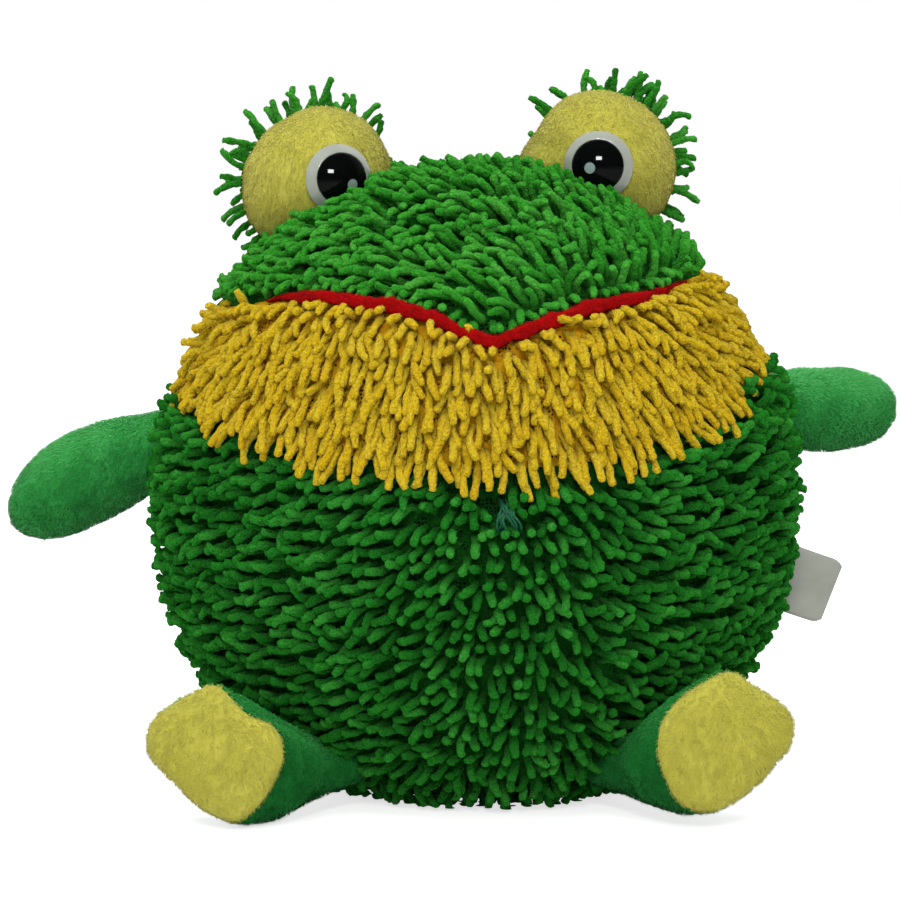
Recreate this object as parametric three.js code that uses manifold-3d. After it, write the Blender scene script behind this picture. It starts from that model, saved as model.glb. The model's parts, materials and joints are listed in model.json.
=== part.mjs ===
// Round stuffed frog in combed chenille, with eye pods, arms and flat-soled feet.
// Millimetres, +Z up. The origin is the centre of the flat underside, and the face looks along -Y.

import * as THREE from 'three';
import { mergeVertices } from 'three/addons/utils/BufferGeometryUtils.js';
import Module from 'manifold-3d';

const wasm = await Module();
wasm.setup();

// Driving dimensions of the stuffed body
const halfWidth = 88;
const halfDepth = 81;
const crownRise = 88;
const waistHeight = 91;
const seatRadius = 32;
const crownRoundness = 2.15;
const seatRoundness = 2.3;
const coverThickness = 4.5;
const seamGap = 0.35;
const sideSeamSetback = 12;
const leanAngle = 2.8;

// Driving dimensions of the mouth
const mouthStripWidth = 3;
const mouthStripStandout = 4.5;
const mouthLeftShare = -0.64;
const mouthRightShare = 0.72;

// Driving dimensions of the chenille strands
const strandLength = 12.5;
const strandRadius = 1.9;
const strandSpacing = 14;
const backStrandSpacing = 19.4;
const strandTipShare = 0.8;
const strandLift = 42;
const strandRooting = 2.5;
const strandSeamMargin = 5.6;
const strandClearance = 0.7;
const strandFloorClearance = 1.2;

// Driving dimensions of an eye pod and its safety eye
const podRadius = 22.5;
const podRise = 12.4;
const podElevation = 64.3;
const podAzimuth = 13.3;
const podToeIn = 12;
const podClothThickness = 1.5;
const domeRadius = 10;
const domeHeight = 5.5;
const domeRimThickness = 1;
const pupilRadius = 7.5;
const shankRadius = 3;
const shankLength = 8;
const washerRadius = 7;
const washerThickness = 1.2;

// Driving dimensions of an arm
const armLength = 60;
const armRadius = 13;
const armRootRadius = 10.4;
const armRootDepth = 0.5;
const armMouthAngle = -50;
const armNeckAngle = 46;
const armElevation = 11;
const plushThickness = 1.6;

// Driving dimensions of a leg and its sole
const legRootRadius = 7.6;
const legRootElevation = -50.5;
const legRootAzimuth = 50;
const legRootStandout = 3.6;
const legSocketRoom = 2.95;
const legReachOut = 34.5;
const legReachForward = 20.6;
const footHeight = 21.2;
const soleRadius = 20.3;
const soleYaw = 14;
const soleTilt = 6;
const soleThickness = 2;
const soleCrown = 3;

// Driving dimensions of the sewn-in label and the thread tail
const labelHeight = 20.4;
const labelStandout = 24;
const labelThickness = 0.8;
const labelElevation = -20.5;
const labelDroop = 20;
const threadLength = 9;
const threadRadius = 0.7;
const threadAzimuth = -84;
const threadElevation = -3;

// Clearances and facet counts
const fitGap = 0.3;
const weldTolerance = 1e-4;
const swingGap = 0.4;
const cutOverrun = 30;
const armSwing = [-8, 55];
const legSwing = [-10, 20];
const podSwing = [-3, 20];
const bodySides = 28;
const bodyRings = 12;
const podSides = 16;
const limbSides = 12;
const trimSides = 16;
const socketSides = 20;

// Outlines as shares of the body's half width and crown rise, or of the sole's radius
const mouthShares = [
  [-1.3, 0.6], [-0.85, 0.63], [-0.63, 0.664], [-0.5, 0.672], [-0.37, 0.66], [-0.21, 0.634],
  [-0.085, 0.59], [0.0, 0.545], [0.067, 0.52], [0.14, 0.532], [0.25, 0.567], [0.4, 0.6],
  [0.57, 0.622], [0.716, 0.655], [0.85, 0.66], [1.3, 0.63],
];
const chinShares = [
  [-1.3, 0.5], [-0.91, 0.36], [-0.75, 0.273], [-0.55, 0.216], [-0.32, 0.174], [-0.13, 0.148],
  [0.05, 0.13], [0.28, 0.125], [0.47, 0.145], [0.67, 0.2], [0.82, 0.272], [0.9, 0.36], [1.3, 0.5],
];
const soleOutlineShares = [1.0, 0.83, 0.97, 0.89, 1.0, 0.79, 0.98, 1.0];

const bodyCentre = new THREE.Vector3(0, 0, waistHeight);
const seatRise = waistHeight / Math.pow(
  1 - Math.pow(seatRadius / halfWidth, seatRoundness), 1 / seatRoundness);
const sideAxis = new THREE.Vector3(1, 0, 0);
const depthAxis = new THREE.Vector3(0, 1, 0);
const upAxis = new THREE.Vector3(0, 0, 1);

function radians(degrees) {
  return THREE.MathUtils.degToRad(degrees);
}

// Closed solids from three.js geometry, and back

function closedGeometry(geometry) {
  const bare = geometry.clone();
  bare.deleteAttribute('normal');
  bare.deleteAttribute('uv');
  const merged = mergeVertices(bare, weldTolerance);
  const kept = [];
  const index = merged.index.array;
  for (let i = 0; i < index.length; i += 3) {
    const [a, b, c] = [index[i], index[i + 1], index[i + 2]];
    if (a !== b && b !== c && a !== c) kept.push(a, b, c);
  }
  merged.setIndex(kept);
  return merged;
}

function solidOf(geometry) {
  const closed = closedGeometry(geometry);
  const mesh = new wasm.Mesh({
    numProp: 3,
    vertProperties: new Float32Array(closed.attributes.position.array),
    triVerts: new Uint32Array(closed.index.array),
  });
  return new wasm.Manifold(mesh);
}

function geometryOf(solid) {
  const mesh = solid.getMesh();
  const geometry = new THREE.BufferGeometry();
  geometry.setAttribute('position', new THREE.BufferAttribute(mesh.vertProperties, mesh.numProp));
  geometry.setIndex(new THREE.BufferAttribute(mesh.triVerts, 1));
  geometry.computeVertexNormals();
  return geometry;
}

function movedSolid(geometry, matrix) {
  return solidOf(geometry.clone().applyMatrix4(matrix));
}

// Skins between rings of points, closed at both ends by a fan
function loftGeometry(rings, startTip, endTip) {
  const sides = rings[0].length;
  const points = rings.flat();
  const startIndex = points.length;
  points.push(startTip, endTip);
  const index = [];
  for (let ring = 0; ring + 1 < rings.length; ring += 1) {
    for (let side = 0; side < sides; side += 1) {
      const next = (side + 1) % sides;
      const a = ring * sides + side;
      const b = ring * sides + next;
      index.push(a, b, b + sides, a, b + sides, a + sides);
    }
  }
  const last = (rings.length - 1) * sides;
  for (let side = 0; side < sides; side += 1) {
    const next = (side + 1) % sides;
    index.push(startIndex, next, side);
    index.push(startIndex + 1, last + side, last + next);
  }
  const geometry = new THREE.BufferGeometry();
  geometry.setFromPoints(points);
  geometry.setIndex(index);
  return geometry;
}

// The body's skin: a round form with squared shoulders, flat where it sits

function skinRadii(outset) {
  return {
    width: halfWidth + outset,
    depth: halfDepth + outset,
    crown: crownRise + outset,
    seat: seatRise + outset,
    floor: waistHeight + outset,
  };
}

function skinGeometry(outset) {
  const radii = skinRadii(outset);
  const seatLatitude = Math.asin(Math.pow(radii.floor / radii.seat, seatRoundness / 2));
  const rings = [];
  for (let ring = 0; ring < bodyRings; ring += 1) {
    const latitude = -seatLatitude + (Math.PI / 2 + seatLatitude) * (ring / bodyRings);
    const roundness = latitude < 0 ? seatRoundness : crownRoundness;
    const rise = latitude < 0 ? -radii.seat : radii.crown;
    const height = rise * Math.pow(Math.abs(Math.sin(latitude)), 2 / roundness);
    const spread = Math.pow(Math.cos(latitude), 2 / roundness);
    const points = [];
    for (let side = 0; side < bodySides; side += 1) {
      const azimuth = (2 * Math.PI * side) / bodySides;
      points.push(new THREE.Vector3(
        radii.width * spread * Math.cos(azimuth),
        radii.depth * spread * Math.sin(azimuth),
        ring === 0 ? waistHeight - radii.floor : waistHeight + height,
      ));
    }
    rings.push(points);
  }
  const seatCentre = new THREE.Vector3(0, 0, waistHeight - radii.floor);
  const crownTip = new THREE.Vector3(0, 0, waistHeight + radii.crown);
  return loftGeometry(rings, seatCentre, crownTip);
}

function leaned(vector) {
  return vector.clone().applyAxisAngle(depthAxis, radians(-leanAngle));
}

function direction(azimuth, elevation) {
  const level = Math.cos(radians(elevation));
  return new THREE.Vector3(
    level * Math.cos(radians(azimuth)), level * Math.sin(radians(azimuth)), Math.sin(radians(elevation)));
}

function skinToward(way, outset) {
  const radii = skinRadii(outset);
  const roundness = way.z < 0 ? seatRoundness : crownRoundness;
  const rise = way.z < 0 ? radii.seat : radii.crown;
  const level = Math.hypot(way.x / radii.width, way.y / radii.depth);
  const reach = Math.pow(
    Math.pow(level, roundness) + Math.pow(Math.abs(way.z) / rise, roundness), -1 / roundness);
  return bodyCentre.clone().addScaledVector(way, reach);
}

function skinNormal(point) {
  const from = point.clone().sub(bodyCentre);
  const roundness = from.z < 0 ? seatRoundness : crownRoundness;
  const rise = from.z < 0 ? seatRise : crownRise;
  const level = Math.hypot(from.x / halfWidth, from.y / halfDepth);
  const pull = Math.pow(level, roundness - 2);
  const lift = Math.pow(Math.abs(from.z) / rise, roundness - 2) / (rise * rise);
  return new THREE.Vector3(
    (pull * from.x) / (halfWidth * halfWidth), (pull * from.y) / (halfDepth * halfDepth), lift * from.z,
  ).normalize();
}

// Seams: two curves in the front view and one plane across the sides

function seamCurve(shares) {
  return new THREE.SplineCurve(
    shares.map(([across, up]) => new THREE.Vector2(across * halfWidth, up * crownRise)));
}

const mouthCurve = seamCurve(mouthShares);
const chinCurve = seamCurve(chinShares);

function heightOnSeam(curve, across) {
  let low = 0;
  let high = 1;
  for (let step = 0; step < 24; step += 1) {
    const middle = (low + high) / 2;
    if (curve.getPoint(middle).x < across) low = middle;
    else high = middle;
  }
  return curve.getPoint(low).y;
}

function seamPoints(curve, shift, from, to, steps) {
  const points = [];
  for (let step = 0; step <= steps; step += 1) {
    const across = from + ((to - from) * step) / steps;
    points.push(new THREE.Vector2(across, heightOnSeam(curve, across) + shift));
  }
  return points;
}

// A curtain cuts the front half of the skin between a lower and an upper line
function curtainSolid(lower, upper) {
  const depth = halfDepth + sideSeamSetback + cutOverrun;
  const shape = new THREE.Shape([...lower, ...[...upper].reverse()]);
  const curtain = new THREE.ExtrudeGeometry(shape, { depth, bevelEnabled: false });
  curtain.rotateX(Math.PI / 2);
  curtain.translate(0, sideSeamSetback - seamGap / 2, 0);
  curtain.rotateY(radians(-leanAngle));
  curtain.translate(0, 0, waistHeight);
  return solidOf(curtain);
}

function flatLine(height) {
  const reach = halfWidth + cutOverrun;
  return [new THREE.Vector2(-reach, height), new THREE.Vector2(reach, height)];
}

function backSolid() {
  const width = 2 * (halfWidth + cutOverrun);
  const depth = halfDepth + cutOverrun;
  const height = 2 * (crownRise + cutOverrun);
  const box = new THREE.BoxGeometry(width, depth, height);
  box.translate(0, sideSeamSetback + seamGap / 2 + depth / 2, waistHeight);
  return solidOf(box);
}

// Limbs: where each is sewn on, and how it points

function limbFrame(origin, along) {
  const across = new THREE.Vector3().crossVectors(along, upAxis).normalize();
  const over = new THREE.Vector3().crossVectors(across, along);
  return new THREE.Matrix4().makeBasis(across, along, over).setPosition(origin);
}

const sideSeamAngle = THREE.MathUtils.radToDeg(Math.asin(sideSeamSetback / halfWidth));

function armRoot(side) {
  const azimuth = side < 0 ? 180 - sideSeamAngle : sideSeamAngle;
  return skinToward(leaned(direction(azimuth, armElevation)), -armRootDepth);
}

const arms = [
  { name: 'right', side: -1, droop: 26, sweep: 0 },
  { name: 'left', side: 1, droop: 3, sweep: 40 },
].map((arm) => {
  const level = Math.cos(radians(arm.droop));
  const along = new THREE.Vector3(
    arm.side * level * Math.cos(radians(arm.sweep)),
    level * Math.sin(radians(arm.sweep)),
    -Math.sin(radians(arm.droop)));
  const root = armRoot(arm.side);
  const hinge = new THREE.Vector3().crossVectors(along, upAxis).normalize();
  return { ...arm, along, root, hinge };
});

function legRoot(side) {
  const azimuth = side < 0 ? -180 + legRootAzimuth : -legRootAzimuth;
  return skinToward(direction(azimuth, legRootElevation), legRootStandout);
}

const legs = [
  { name: 'right', side: -1 },
  { name: 'left', side: 1 },
].map((leg) => {
  const root = legRoot(leg.side);
  const sole = new THREE.Vector3(
    root.x + leg.side * legReachOut, root.y - legReachForward, footHeight);
  const facing = new THREE.Vector3(
    leg.side * Math.sin(radians(soleYaw)), -Math.cos(radians(soleYaw)), Math.sin(radians(soleTilt)),
  ).normalize();
  const line = new THREE.CubicBezierCurve3(
    root,
    root.clone().add(new THREE.Vector3(leg.side * soleRadius, -soleRadius / 10, 0)),
    sole.clone().addScaledVector(facing, -0.8 * soleRadius),
    sole);
  return { ...leg, root, sole, facing, line };
});

const pods = [
  { name: 'right', side: -1, eyeTurn: 21, eyeTilt: 4 },
  { name: 'left', side: 1, eyeTurn: 6, eyeTilt: 1 },
].map((pod) => {
  const azimuth = pod.side < 0 ? 180 - podAzimuth : podAzimuth;
  const centre = skinToward(leaned(direction(azimuth, podElevation)), podRise);
  return { ...pod, centre };
});

// Arm: a ball root in the side seam, a narrow neck, then a full sausage with a blunt end

function armProfile(fromAngle) {
  const profile = [];
  const rootSteps = 4;
  for (let step = 0; step <= rootSteps; step += 1) {
    const angle = radians(fromAngle + ((armNeckAngle - fromAngle) * step) / rootSteps);
    const outward = fromAngle === -90 && step === 0 ? 0 : armRootRadius * Math.cos(angle);
    profile.push(new THREE.Vector2(outward, armRootRadius * Math.sin(angle)));
  }
  const swellShares = [
    [0.73, 0.2], [0.95, 0.36], [1.0, 0.58], [0.93, 0.76], [0.74, 0.89], [0.42, 0.97], [0, 1],
  ];
  for (const [radiusShare, lengthShare] of swellShares) {
    profile.push(new THREE.Vector2(radiusShare * armRadius, lengthShare * armLength));
  }
  return profile;
}

function insetProfile(profile, inset) {
  return profile.map((point, i) => {
    const before = profile[Math.max(i - 1, 0)];
    const after = profile[Math.min(i + 1, profile.length - 1)];
    const run = after.clone().sub(before).normalize();
    if (point.x === 0) run.set(point.y > 0 ? -1 : 1, 0);
    return new THREE.Vector2(point.x - run.y * inset, point.y + run.x * inset);
  });
}

function armCoverGeometry() {
  const outer = armProfile(armMouthAngle);
  const inner = insetProfile(outer, plushThickness).reverse();
  return new THREE.LatheGeometry([...outer, ...inner, outer[0]], limbSides);
}

function armFillingGeometry() {
  return new THREE.LatheGeometry(insetProfile(armProfile(-90), plushThickness + fitGap), limbSides);
}

// Leg: rings along a bent line, round at the body and sole-shaped at the end

function soleShare(turn) {
  const count = soleOutlineShares.length;
  const place = (((turn / (2 * Math.PI)) % 1) + 1) % 1 * count;
  const low = Math.floor(place);
  const blend = (1 - Math.cos(Math.PI * (place - low))) / 2;
  return THREE.MathUtils.lerp(
    soleOutlineShares[low % count], soleOutlineShares[(low + 1) % count], blend);
}

function legRadius(share) {
  const swell = THREE.MathUtils.smoothstep(share, 0.1, 0.9);
  return THREE.MathUtils.lerp(legRootRadius, soleRadius, swell);
}

function sectionRing(leg, centre, tangent, radiusToward) {
  const across = new THREE.Vector3().crossVectors(upAxis, tangent).normalize();
  const over = new THREE.Vector3().crossVectors(tangent, across);
  const points = [];
  for (let side = 0; side < limbSides; side += 1) {
    const turn = (2 * Math.PI * side) / limbSides;
    const radius = radiusToward(leg.side < 0 ? turn : Math.PI - turn);
    points.push(centre.clone()
      .addScaledVector(across, radius * Math.cos(turn))
      .addScaledVector(over, radius * Math.sin(turn)));
  }
  return points;
}

function legRing(leg, share, inset, beyond) {
  const tangent = leg.line.getTangent(share);
  const centre = leg.line.getPoint(share).addScaledVector(tangent, beyond);
  const soleness = share * share;
  return sectionRing(leg, centre, tangent, (turn) =>
    legRadius(share) * THREE.MathUtils.lerp(1, soleShare(turn), soleness) - inset);
}

function legSolid(leg, inset, endShift) {
  const tangent = leg.line.getTangent(0);
  const ball = legRootRadius - inset;
  const rings = [25, 55, 85].map((angle) => sectionRing(
    leg, leg.root.clone().addScaledVector(tangent, -ball * Math.cos(radians(angle))), tangent,
    () => ball * Math.sin(radians(angle))));
  for (const share of [0.25, 0.45, 0.65, 0.85]) rings.push(legRing(leg, share, inset, 0));
  if (endShift > 0) rings.push(legRing(leg, 1, inset, 0));
  rings.push(legRing(leg, 1, inset, endShift));
  const start = leg.root.clone().addScaledVector(tangent, -ball);
  const end = leg.sole.clone().addScaledVector(leg.facing, endShift);
  return solidOf(loftGeometry(rings, start, end));
}

function legCoverSolid(leg) {
  return legSolid(leg, 0, 0).subtract(legSolid(leg, plushThickness, cutOverrun / 4));
}

function legFillingSolid(leg) {
  return legSolid(leg, plushThickness + fitGap, -fitGap);
}

function soleGeometry(leg) {
  const layers = [
    { inset: 0, height: fitGap },
    { inset: 0, height: fitGap + soleThickness },
    { inset: soleRadius * 0.14, height: fitGap + soleThickness + soleCrown * 0.55 },
    { inset: soleRadius * 0.5, height: fitGap + soleThickness + soleCrown * 0.92 },
  ];
  const rings = layers.map((layer) => legRing(leg, 1, layer.inset, layer.height));
  const start = leg.sole.clone().addScaledVector(leg.facing, fitGap);
  const end = leg.sole.clone().addScaledVector(leg.facing, fitGap + soleThickness + soleCrown);
  return loftGeometry(rings, start, end);
}

// Eye pod: a stuffed ball with a plush front, a chenille back and a safety eye through the front

function podBall(radius) {
  return solidOf(new THREE.SphereGeometry(radius, podSides, podSides / 2));
}

function podHalf(front) {
  const size = 2 * podRadius + cutOverrun;
  const half = new THREE.BoxGeometry(size, size, size);
  half.translate(0, (front ? -1 : 1) * (size / 2 + seamGap / 2), 0);
  return podBall(podRadius).subtract(podBall(podRadius - podClothThickness)).intersect(solidOf(half));
}

const domeSphere = (domeRadius * domeRadius + domeHeight * domeHeight) / (2 * domeHeight);
const domeApex = domeHeight - podRadius + rimDrop();
const pupilSeat = domeApex - domeSphere + Math.sqrt(domeSphere ** 2 - pupilRadius ** 2);

// Heights along the eye's own axis are measured from the pod's surface there
function rimDrop() {
  return Math.sqrt((podRadius + fitGap) ** 2 - domeRadius ** 2) + domeRimThickness;
}

function domeHeightAt(radius) {
  return domeApex - domeSphere + Math.sqrt(domeSphere ** 2 - radius ** 2);
}

function underDomeHeight(radius) {
  return Math.sqrt((podRadius + fitGap) ** 2 - radius ** 2) - podRadius;
}

function domeGeometry() {
  const profile = [
    new THREE.Vector2(0, -shankLength),
    new THREE.Vector2(shankRadius, -shankLength),
    new THREE.Vector2(shankRadius, underDomeHeight(shankRadius)),
  ];
  for (const share of [0.55, 0.8, 1]) {
    profile.push(new THREE.Vector2(share * domeRadius, underDomeHeight(share * domeRadius)));
  }
  for (let step = 0; step <= 3; step += 1) {
    const radius = THREE.MathUtils.lerp(domeRadius, pupilRadius, step / 3);
    profile.push(new THREE.Vector2(radius, domeHeightAt(radius)));
  }
  profile.push(new THREE.Vector2(0, pupilSeat));
  return new THREE.LatheGeometry(profile, trimSides);
}

function pupilGeometry() {
  const profile = [new THREE.Vector2(0, pupilSeat + fitGap)];
  for (const share of [1, 0.82, 0.6, 0.35, 0]) {
    const radius = share * pupilRadius;
    profile.push(new THREE.Vector2(radius, domeHeightAt(radius) + fitGap));
  }
  return new THREE.LatheGeometry(profile, trimSides);
}

function washerTop() {
  const facetShare = Math.cos(Math.PI / podSides) ** 2;
  const inner = (podRadius - podClothThickness - fitGap) * facetShare;
  return Math.sqrt(inner ** 2 - washerRadius ** 2) - podRadius;
}

function washerGeometry() {
  const hole = shankRadius + fitGap;
  const top = washerTop();
  const profile = [
    new THREE.Vector2(hole, top - washerThickness),
    new THREE.Vector2(washerRadius, top - washerThickness),
    new THREE.Vector2(washerRadius, top),
    new THREE.Vector2(hole, top),
    new THREE.Vector2(hole, top - washerThickness),
  ];
  return new THREE.LatheGeometry(profile, trimSides);
}

function eyeWay(pod, turnIn, tilt) {
  const yaw = radians(-pod.side * turnIn);
  return new THREE.Vector3(Math.sin(yaw), -Math.cos(yaw), Math.sin(radians(tilt))).normalize();
}

function eyeMatrix(pod) {
  const way = eyeWay(pod, pod.eyeTurn - podToeIn, pod.eyeTilt);
  const turn = new THREE.Quaternion().setFromUnitVectors(depthAxis, way);
  return new THREE.Matrix4().makeRotationFromQuaternion(turn)
    .setPosition(way.clone().multiplyScalar(podRadius));
}

function roundCut(radius, from, to) {
  const cut = new THREE.CylinderGeometry(radius, radius, to - from, trimSides);
  cut.translate(0, (from + to) / 2, 0);
  return cut;
}

function podFrontSolid(pod) {
  const hole = roundCut(shankRadius + fitGap, -shankLength, shankLength);
  return podHalf(true).subtract(movedSolid(hole, eyeMatrix(pod)));
}

function podFillingSolid(pod) {
  const pocket = roundCut(washerRadius + fitGap, -shankLength - fitGap, podClothThickness);
  return podBall(podRadius - podClothThickness - fitGap).subtract(movedSolid(pocket, eyeMatrix(pod)));
}

// Sockets: the room that each sewn-on part has in the body

function socketAt(centre, radius) {
  const facetShare = Math.cos(Math.PI / socketSides) ** 2;
  const ball = new THREE.SphereGeometry((radius + swingGap) / facetShare, socketSides, socketSides / 2);
  ball.translate(centre.x, centre.y, centre.z);
  return solidOf(ball);
}

function roomForLimbs() {
  const rooms = [];
  for (const arm of arms) rooms.push(socketAt(arm.root, armRootRadius));
  for (const leg of legs) rooms.push(socketAt(leg.root, legRootRadius + legSocketRoom));
  for (const pod of pods) rooms.push(socketAt(pod.centre, podRadius));
  return wasm.Manifold.union(rooms);
}

// Strands: rows of chenille rooted in the four body panels, combed like the real pile

function panelAt(point) {
  const local = point.clone().sub(bodyCentre).applyAxisAngle(depthAxis, radians(leanAngle));
  if (local.y > sideSeamSetback) return 'back_panel';
  if (local.z > heightOnSeam(mouthCurve, local.x)) return 'crown_panel';
  return local.z > heightOnSeam(chinCurve, local.x) ? 'muzzle_panel' : 'belly_panel';
}

function combWay(panel, point) {
  const local = point.clone().sub(bodyCentre);
  const across = local.x / halfWidth;
  const up = local.z / crownRise;
  const ways = {
    crown_panel: new THREE.Vector3(1.4 * across - 0.5, 0, 0.5 * across + 0.3),
    muzzle_panel: new THREE.Vector3(1.1 * across, 0, -1),
    belly_panel: new THREE.Vector3(2 * across, 0, 0.35 * across - 0.5 + 0.3 * up),
    back_panel: new THREE.Vector3(0.8 * across, 0, -0.8),
  };
  return ways[panel];
}

function strandAt(panel, root) {
  const normal = skinNormal(root);
  const comb = combWay(panel, root).projectOnPlane(normal).normalize();
  const way = normal.clone().multiplyScalar(Math.sin(radians(strandLift)))
    .addScaledVector(comb, Math.cos(radians(strandLift)));
  const foot = root.clone().addScaledVector(normal, -strandRooting);
  const tip = root.clone().addScaledVector(way, strandLength);
  return { panel, root, foot, tip };
}

function sweptSpheres() {
  const spheres = [];
  for (const arm of arms) {
    for (let swing = armSwing[0]; swing <= armSwing[1]; swing += (armSwing[1] - armSwing[0]) / 8) {
      const along = arm.along.clone().applyAxisAngle(arm.hinge, radians(swing));
      for (let share = 0.1; share <= 1; share += 0.15) {
        const radius = Math.min(armRadius, armRootRadius + share * armLength / 2);
        spheres.push({ centre: arm.root.clone().addScaledVector(along, share * armLength), radius });
      }
    }
  }
  for (const leg of legs) {
    for (let swing = legSwing[0]; swing <= legSwing[1]; swing += (legSwing[1] - legSwing[0]) / 4) {
      for (let share = 0; share <= 1; share += 0.2) {
        const centre = leg.line.getPoint(share).sub(leg.root);
        centre.applyAxisAngle(upAxis, radians(-leg.side * swing)).add(leg.root);
        spheres.push({ centre, radius: legRadius(share) });
      }
    }
  }
  for (const pod of pods) {
    spheres.push({ centre: pod.centre, radius: podRadius });
    for (const nod of podSwing) {
      const way = eyeWay(pod, pod.eyeTurn, pod.eyeTilt + nod);
      spheres.push({ centre: pod.centre.clone().addScaledVector(way, podRadius), radius: domeRadius });
    }
  }
  return spheres;
}

function trimSpheres() {
  const spheres = [];
  const steps = 28;
  for (let step = 0; step <= steps; step += 1) {
    spheres.push({ centre: mouthPoint(step / steps, mouthStripStandout / 2), radius: mouthStripWidth });
  }
  const place = labelPlace();
  for (let out = 0; out <= 1; out += 0.2) {
    for (let up = -0.5; up <= 0.5; up += 0.25) {
      const centre = new THREE.Vector3(out * labelStandout, 0, up * labelHeight).applyMatrix4(place);
      spheres.push({ centre, radius: 2 * labelThickness });
    }
  }
  spheres.push({ centre: threadRoot(), radius: threadLength * 0.8 });
  return spheres;
}

function clearOfSpheres(strand, spheres) {
  const line = new THREE.Line3(strand.root, strand.tip);
  const near = new THREE.Vector3();
  return spheres.every(({ centre, radius }) => {
    line.closestPointToPoint(centre, true, near);
    return near.distanceTo(centre) > radius + strandRadius + strandClearance;
  });
}

function strandsApart(one, other) {
  const least = 2 * strandRadius + strandClearance;
  if (one.root.distanceTo(other.root) > 2 * strandLength + least) return true;
  for (let i = 0; i <= 4; i += 1) {
    const along = one.root.clone().lerp(one.tip, i / 4);
    const line = new THREE.Line3(other.root, other.tip);
    const near = line.closestPointToPoint(along, true, new THREE.Vector3());
    if (near.distanceTo(along) < least) return false;
  }
  return true;
}

function awayFromSeams(panel, root) {
  const normal = skinNormal(root);
  const level = new THREE.Vector3().crossVectors(upAxis, normal).normalize();
  const steep = new THREE.Vector3().crossVectors(normal, level);
  for (let turn = 0; turn < 8; turn += 1) {
    const angle = (Math.PI * turn) / 4;
    const probe = root.clone()
      .addScaledVector(level, strandSeamMargin * Math.cos(angle))
      .addScaledVector(steep, strandSeamMargin * Math.sin(angle));
    if (panelAt(probe) !== panel) return false;
  }
  return true;
}

function strandGrid(spacing) {
  const roots = [];
  const rowCount = Math.round((Math.PI * crownRise) / (spacing * 0.87));
  for (let row = 1; row < rowCount; row += 1) {
    const elevation = 90 - (180 * row) / rowCount;
    const girth = 2 * Math.PI * halfWidth * Math.cos(radians(elevation));
    const columns = Math.max(Math.round(girth / spacing), 3);
    for (let column = 0; column < columns; column += 1) {
      const azimuth = (360 * (column + 0.5 * (row % 2))) / columns;
      roots.push(skinToward(leaned(direction(azimuth, elevation)), 0));
    }
  }
  return roots;
}

function combedStrands() {
  const spheres = [...sweptSpheres(), ...trimSpheres()];
  const front = strandGrid(strandSpacing).filter((root) => panelAt(root) !== 'back_panel');
  const back = strandGrid(backStrandSpacing).filter((root) => panelAt(root) === 'back_panel');
  const strands = [];
  for (const root of [...front, ...back]) {
    const panel = panelAt(root);
    const strand = strandAt(panel, root);
    const lowest = Math.min(strand.tip.z, strand.foot.z) - strandRadius;
    if (lowest < strandFloorClearance) continue;
    if (!awayFromSeams(panel, root) || !clearOfSpheres(strand, spheres)) continue;
    if (strands.every((other) => strandsApart(strand, other))) strands.push(strand);
  }
  return strands;
}

function strandSolid(strand) {
  const way = strand.tip.clone().sub(strand.root).normalize();
  const level = new THREE.Vector3().crossVectors(way, skinNormal(strand.root)).normalize();
  const over = new THREE.Vector3().crossVectors(way, level);
  const corners = (centre, radius) => [90, 210, 330].map((turn) => centre.clone()
    .addScaledVector(level, radius * Math.cos(radians(turn)))
    .addScaledVector(over, radius * Math.sin(radians(turn))));
  const base = corners(strand.foot, strandRadius);
  const end = corners(strand.tip, strandRadius * strandTipShare);
  return solidOf(prismGeometry(base, end));
}

function prismGeometry(base, end) {
  const geometry = new THREE.BufferGeometry();
  geometry.setFromPoints([...base, ...end]);
  geometry.setIndex([0, 2, 1, 3, 4, 5, 0, 1, 4, 0, 4, 3, 1, 2, 5, 1, 5, 4, 2, 0, 3, 2, 3, 5]);
  return geometry;
}

// Mouth strip, label and thread tail

function mouthPoint(share, outset) {
  const across = THREE.MathUtils.lerp(mouthLeftShare, mouthRightShare, share) * halfWidth;
  const up = heightOnSeam(mouthCurve, across);
  const level = Math.abs(across) / halfWidth;
  const fullness = 1 - Math.pow(up / crownRise, crownRoundness);
  const depth = halfDepth * Math.sqrt(Math.max(Math.pow(fullness, 2 / crownRoundness) - level ** 2, 0));
  const way = leaned(new THREE.Vector3(across, -depth, up)).normalize();
  return skinToward(way, outset);
}

function mouthStripSolid() {
  const from = mouthLeftShare * halfWidth;
  const to = mouthRightShare * halfWidth;
  const lower = seamPoints(mouthCurve, -mouthStripWidth / 2, from, to, 22);
  const upper = seamPoints(mouthCurve, mouthStripWidth / 2, from, to, 22);
  const proud = solidOf(skinGeometry(mouthStripStandout));
  const room = solidOf(skinGeometry(fitGap));
  return proud.subtract(room).intersect(curtainSolid(lower, upper));
}

function labelPlace() {
  const root = skinToward(leaned(direction(sideSeamAngle, labelElevation)), 0);
  const turn = new THREE.Matrix4().makeRotationY(radians(labelDroop));
  return turn.setPosition(root);
}

function labelSolid() {
  const rooting = coverThickness;
  const ribbon = new THREE.BoxGeometry(labelStandout + rooting, labelThickness, labelHeight);
  ribbon.translate((labelStandout - rooting) / 2, 0, 0);
  return movedSolid(ribbon, labelPlace()).subtract(solidOf(skinGeometry(fitGap)));
}

function threadRoot() {
  return skinToward(leaned(direction(threadAzimuth, threadElevation)), 0);
}

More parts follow.
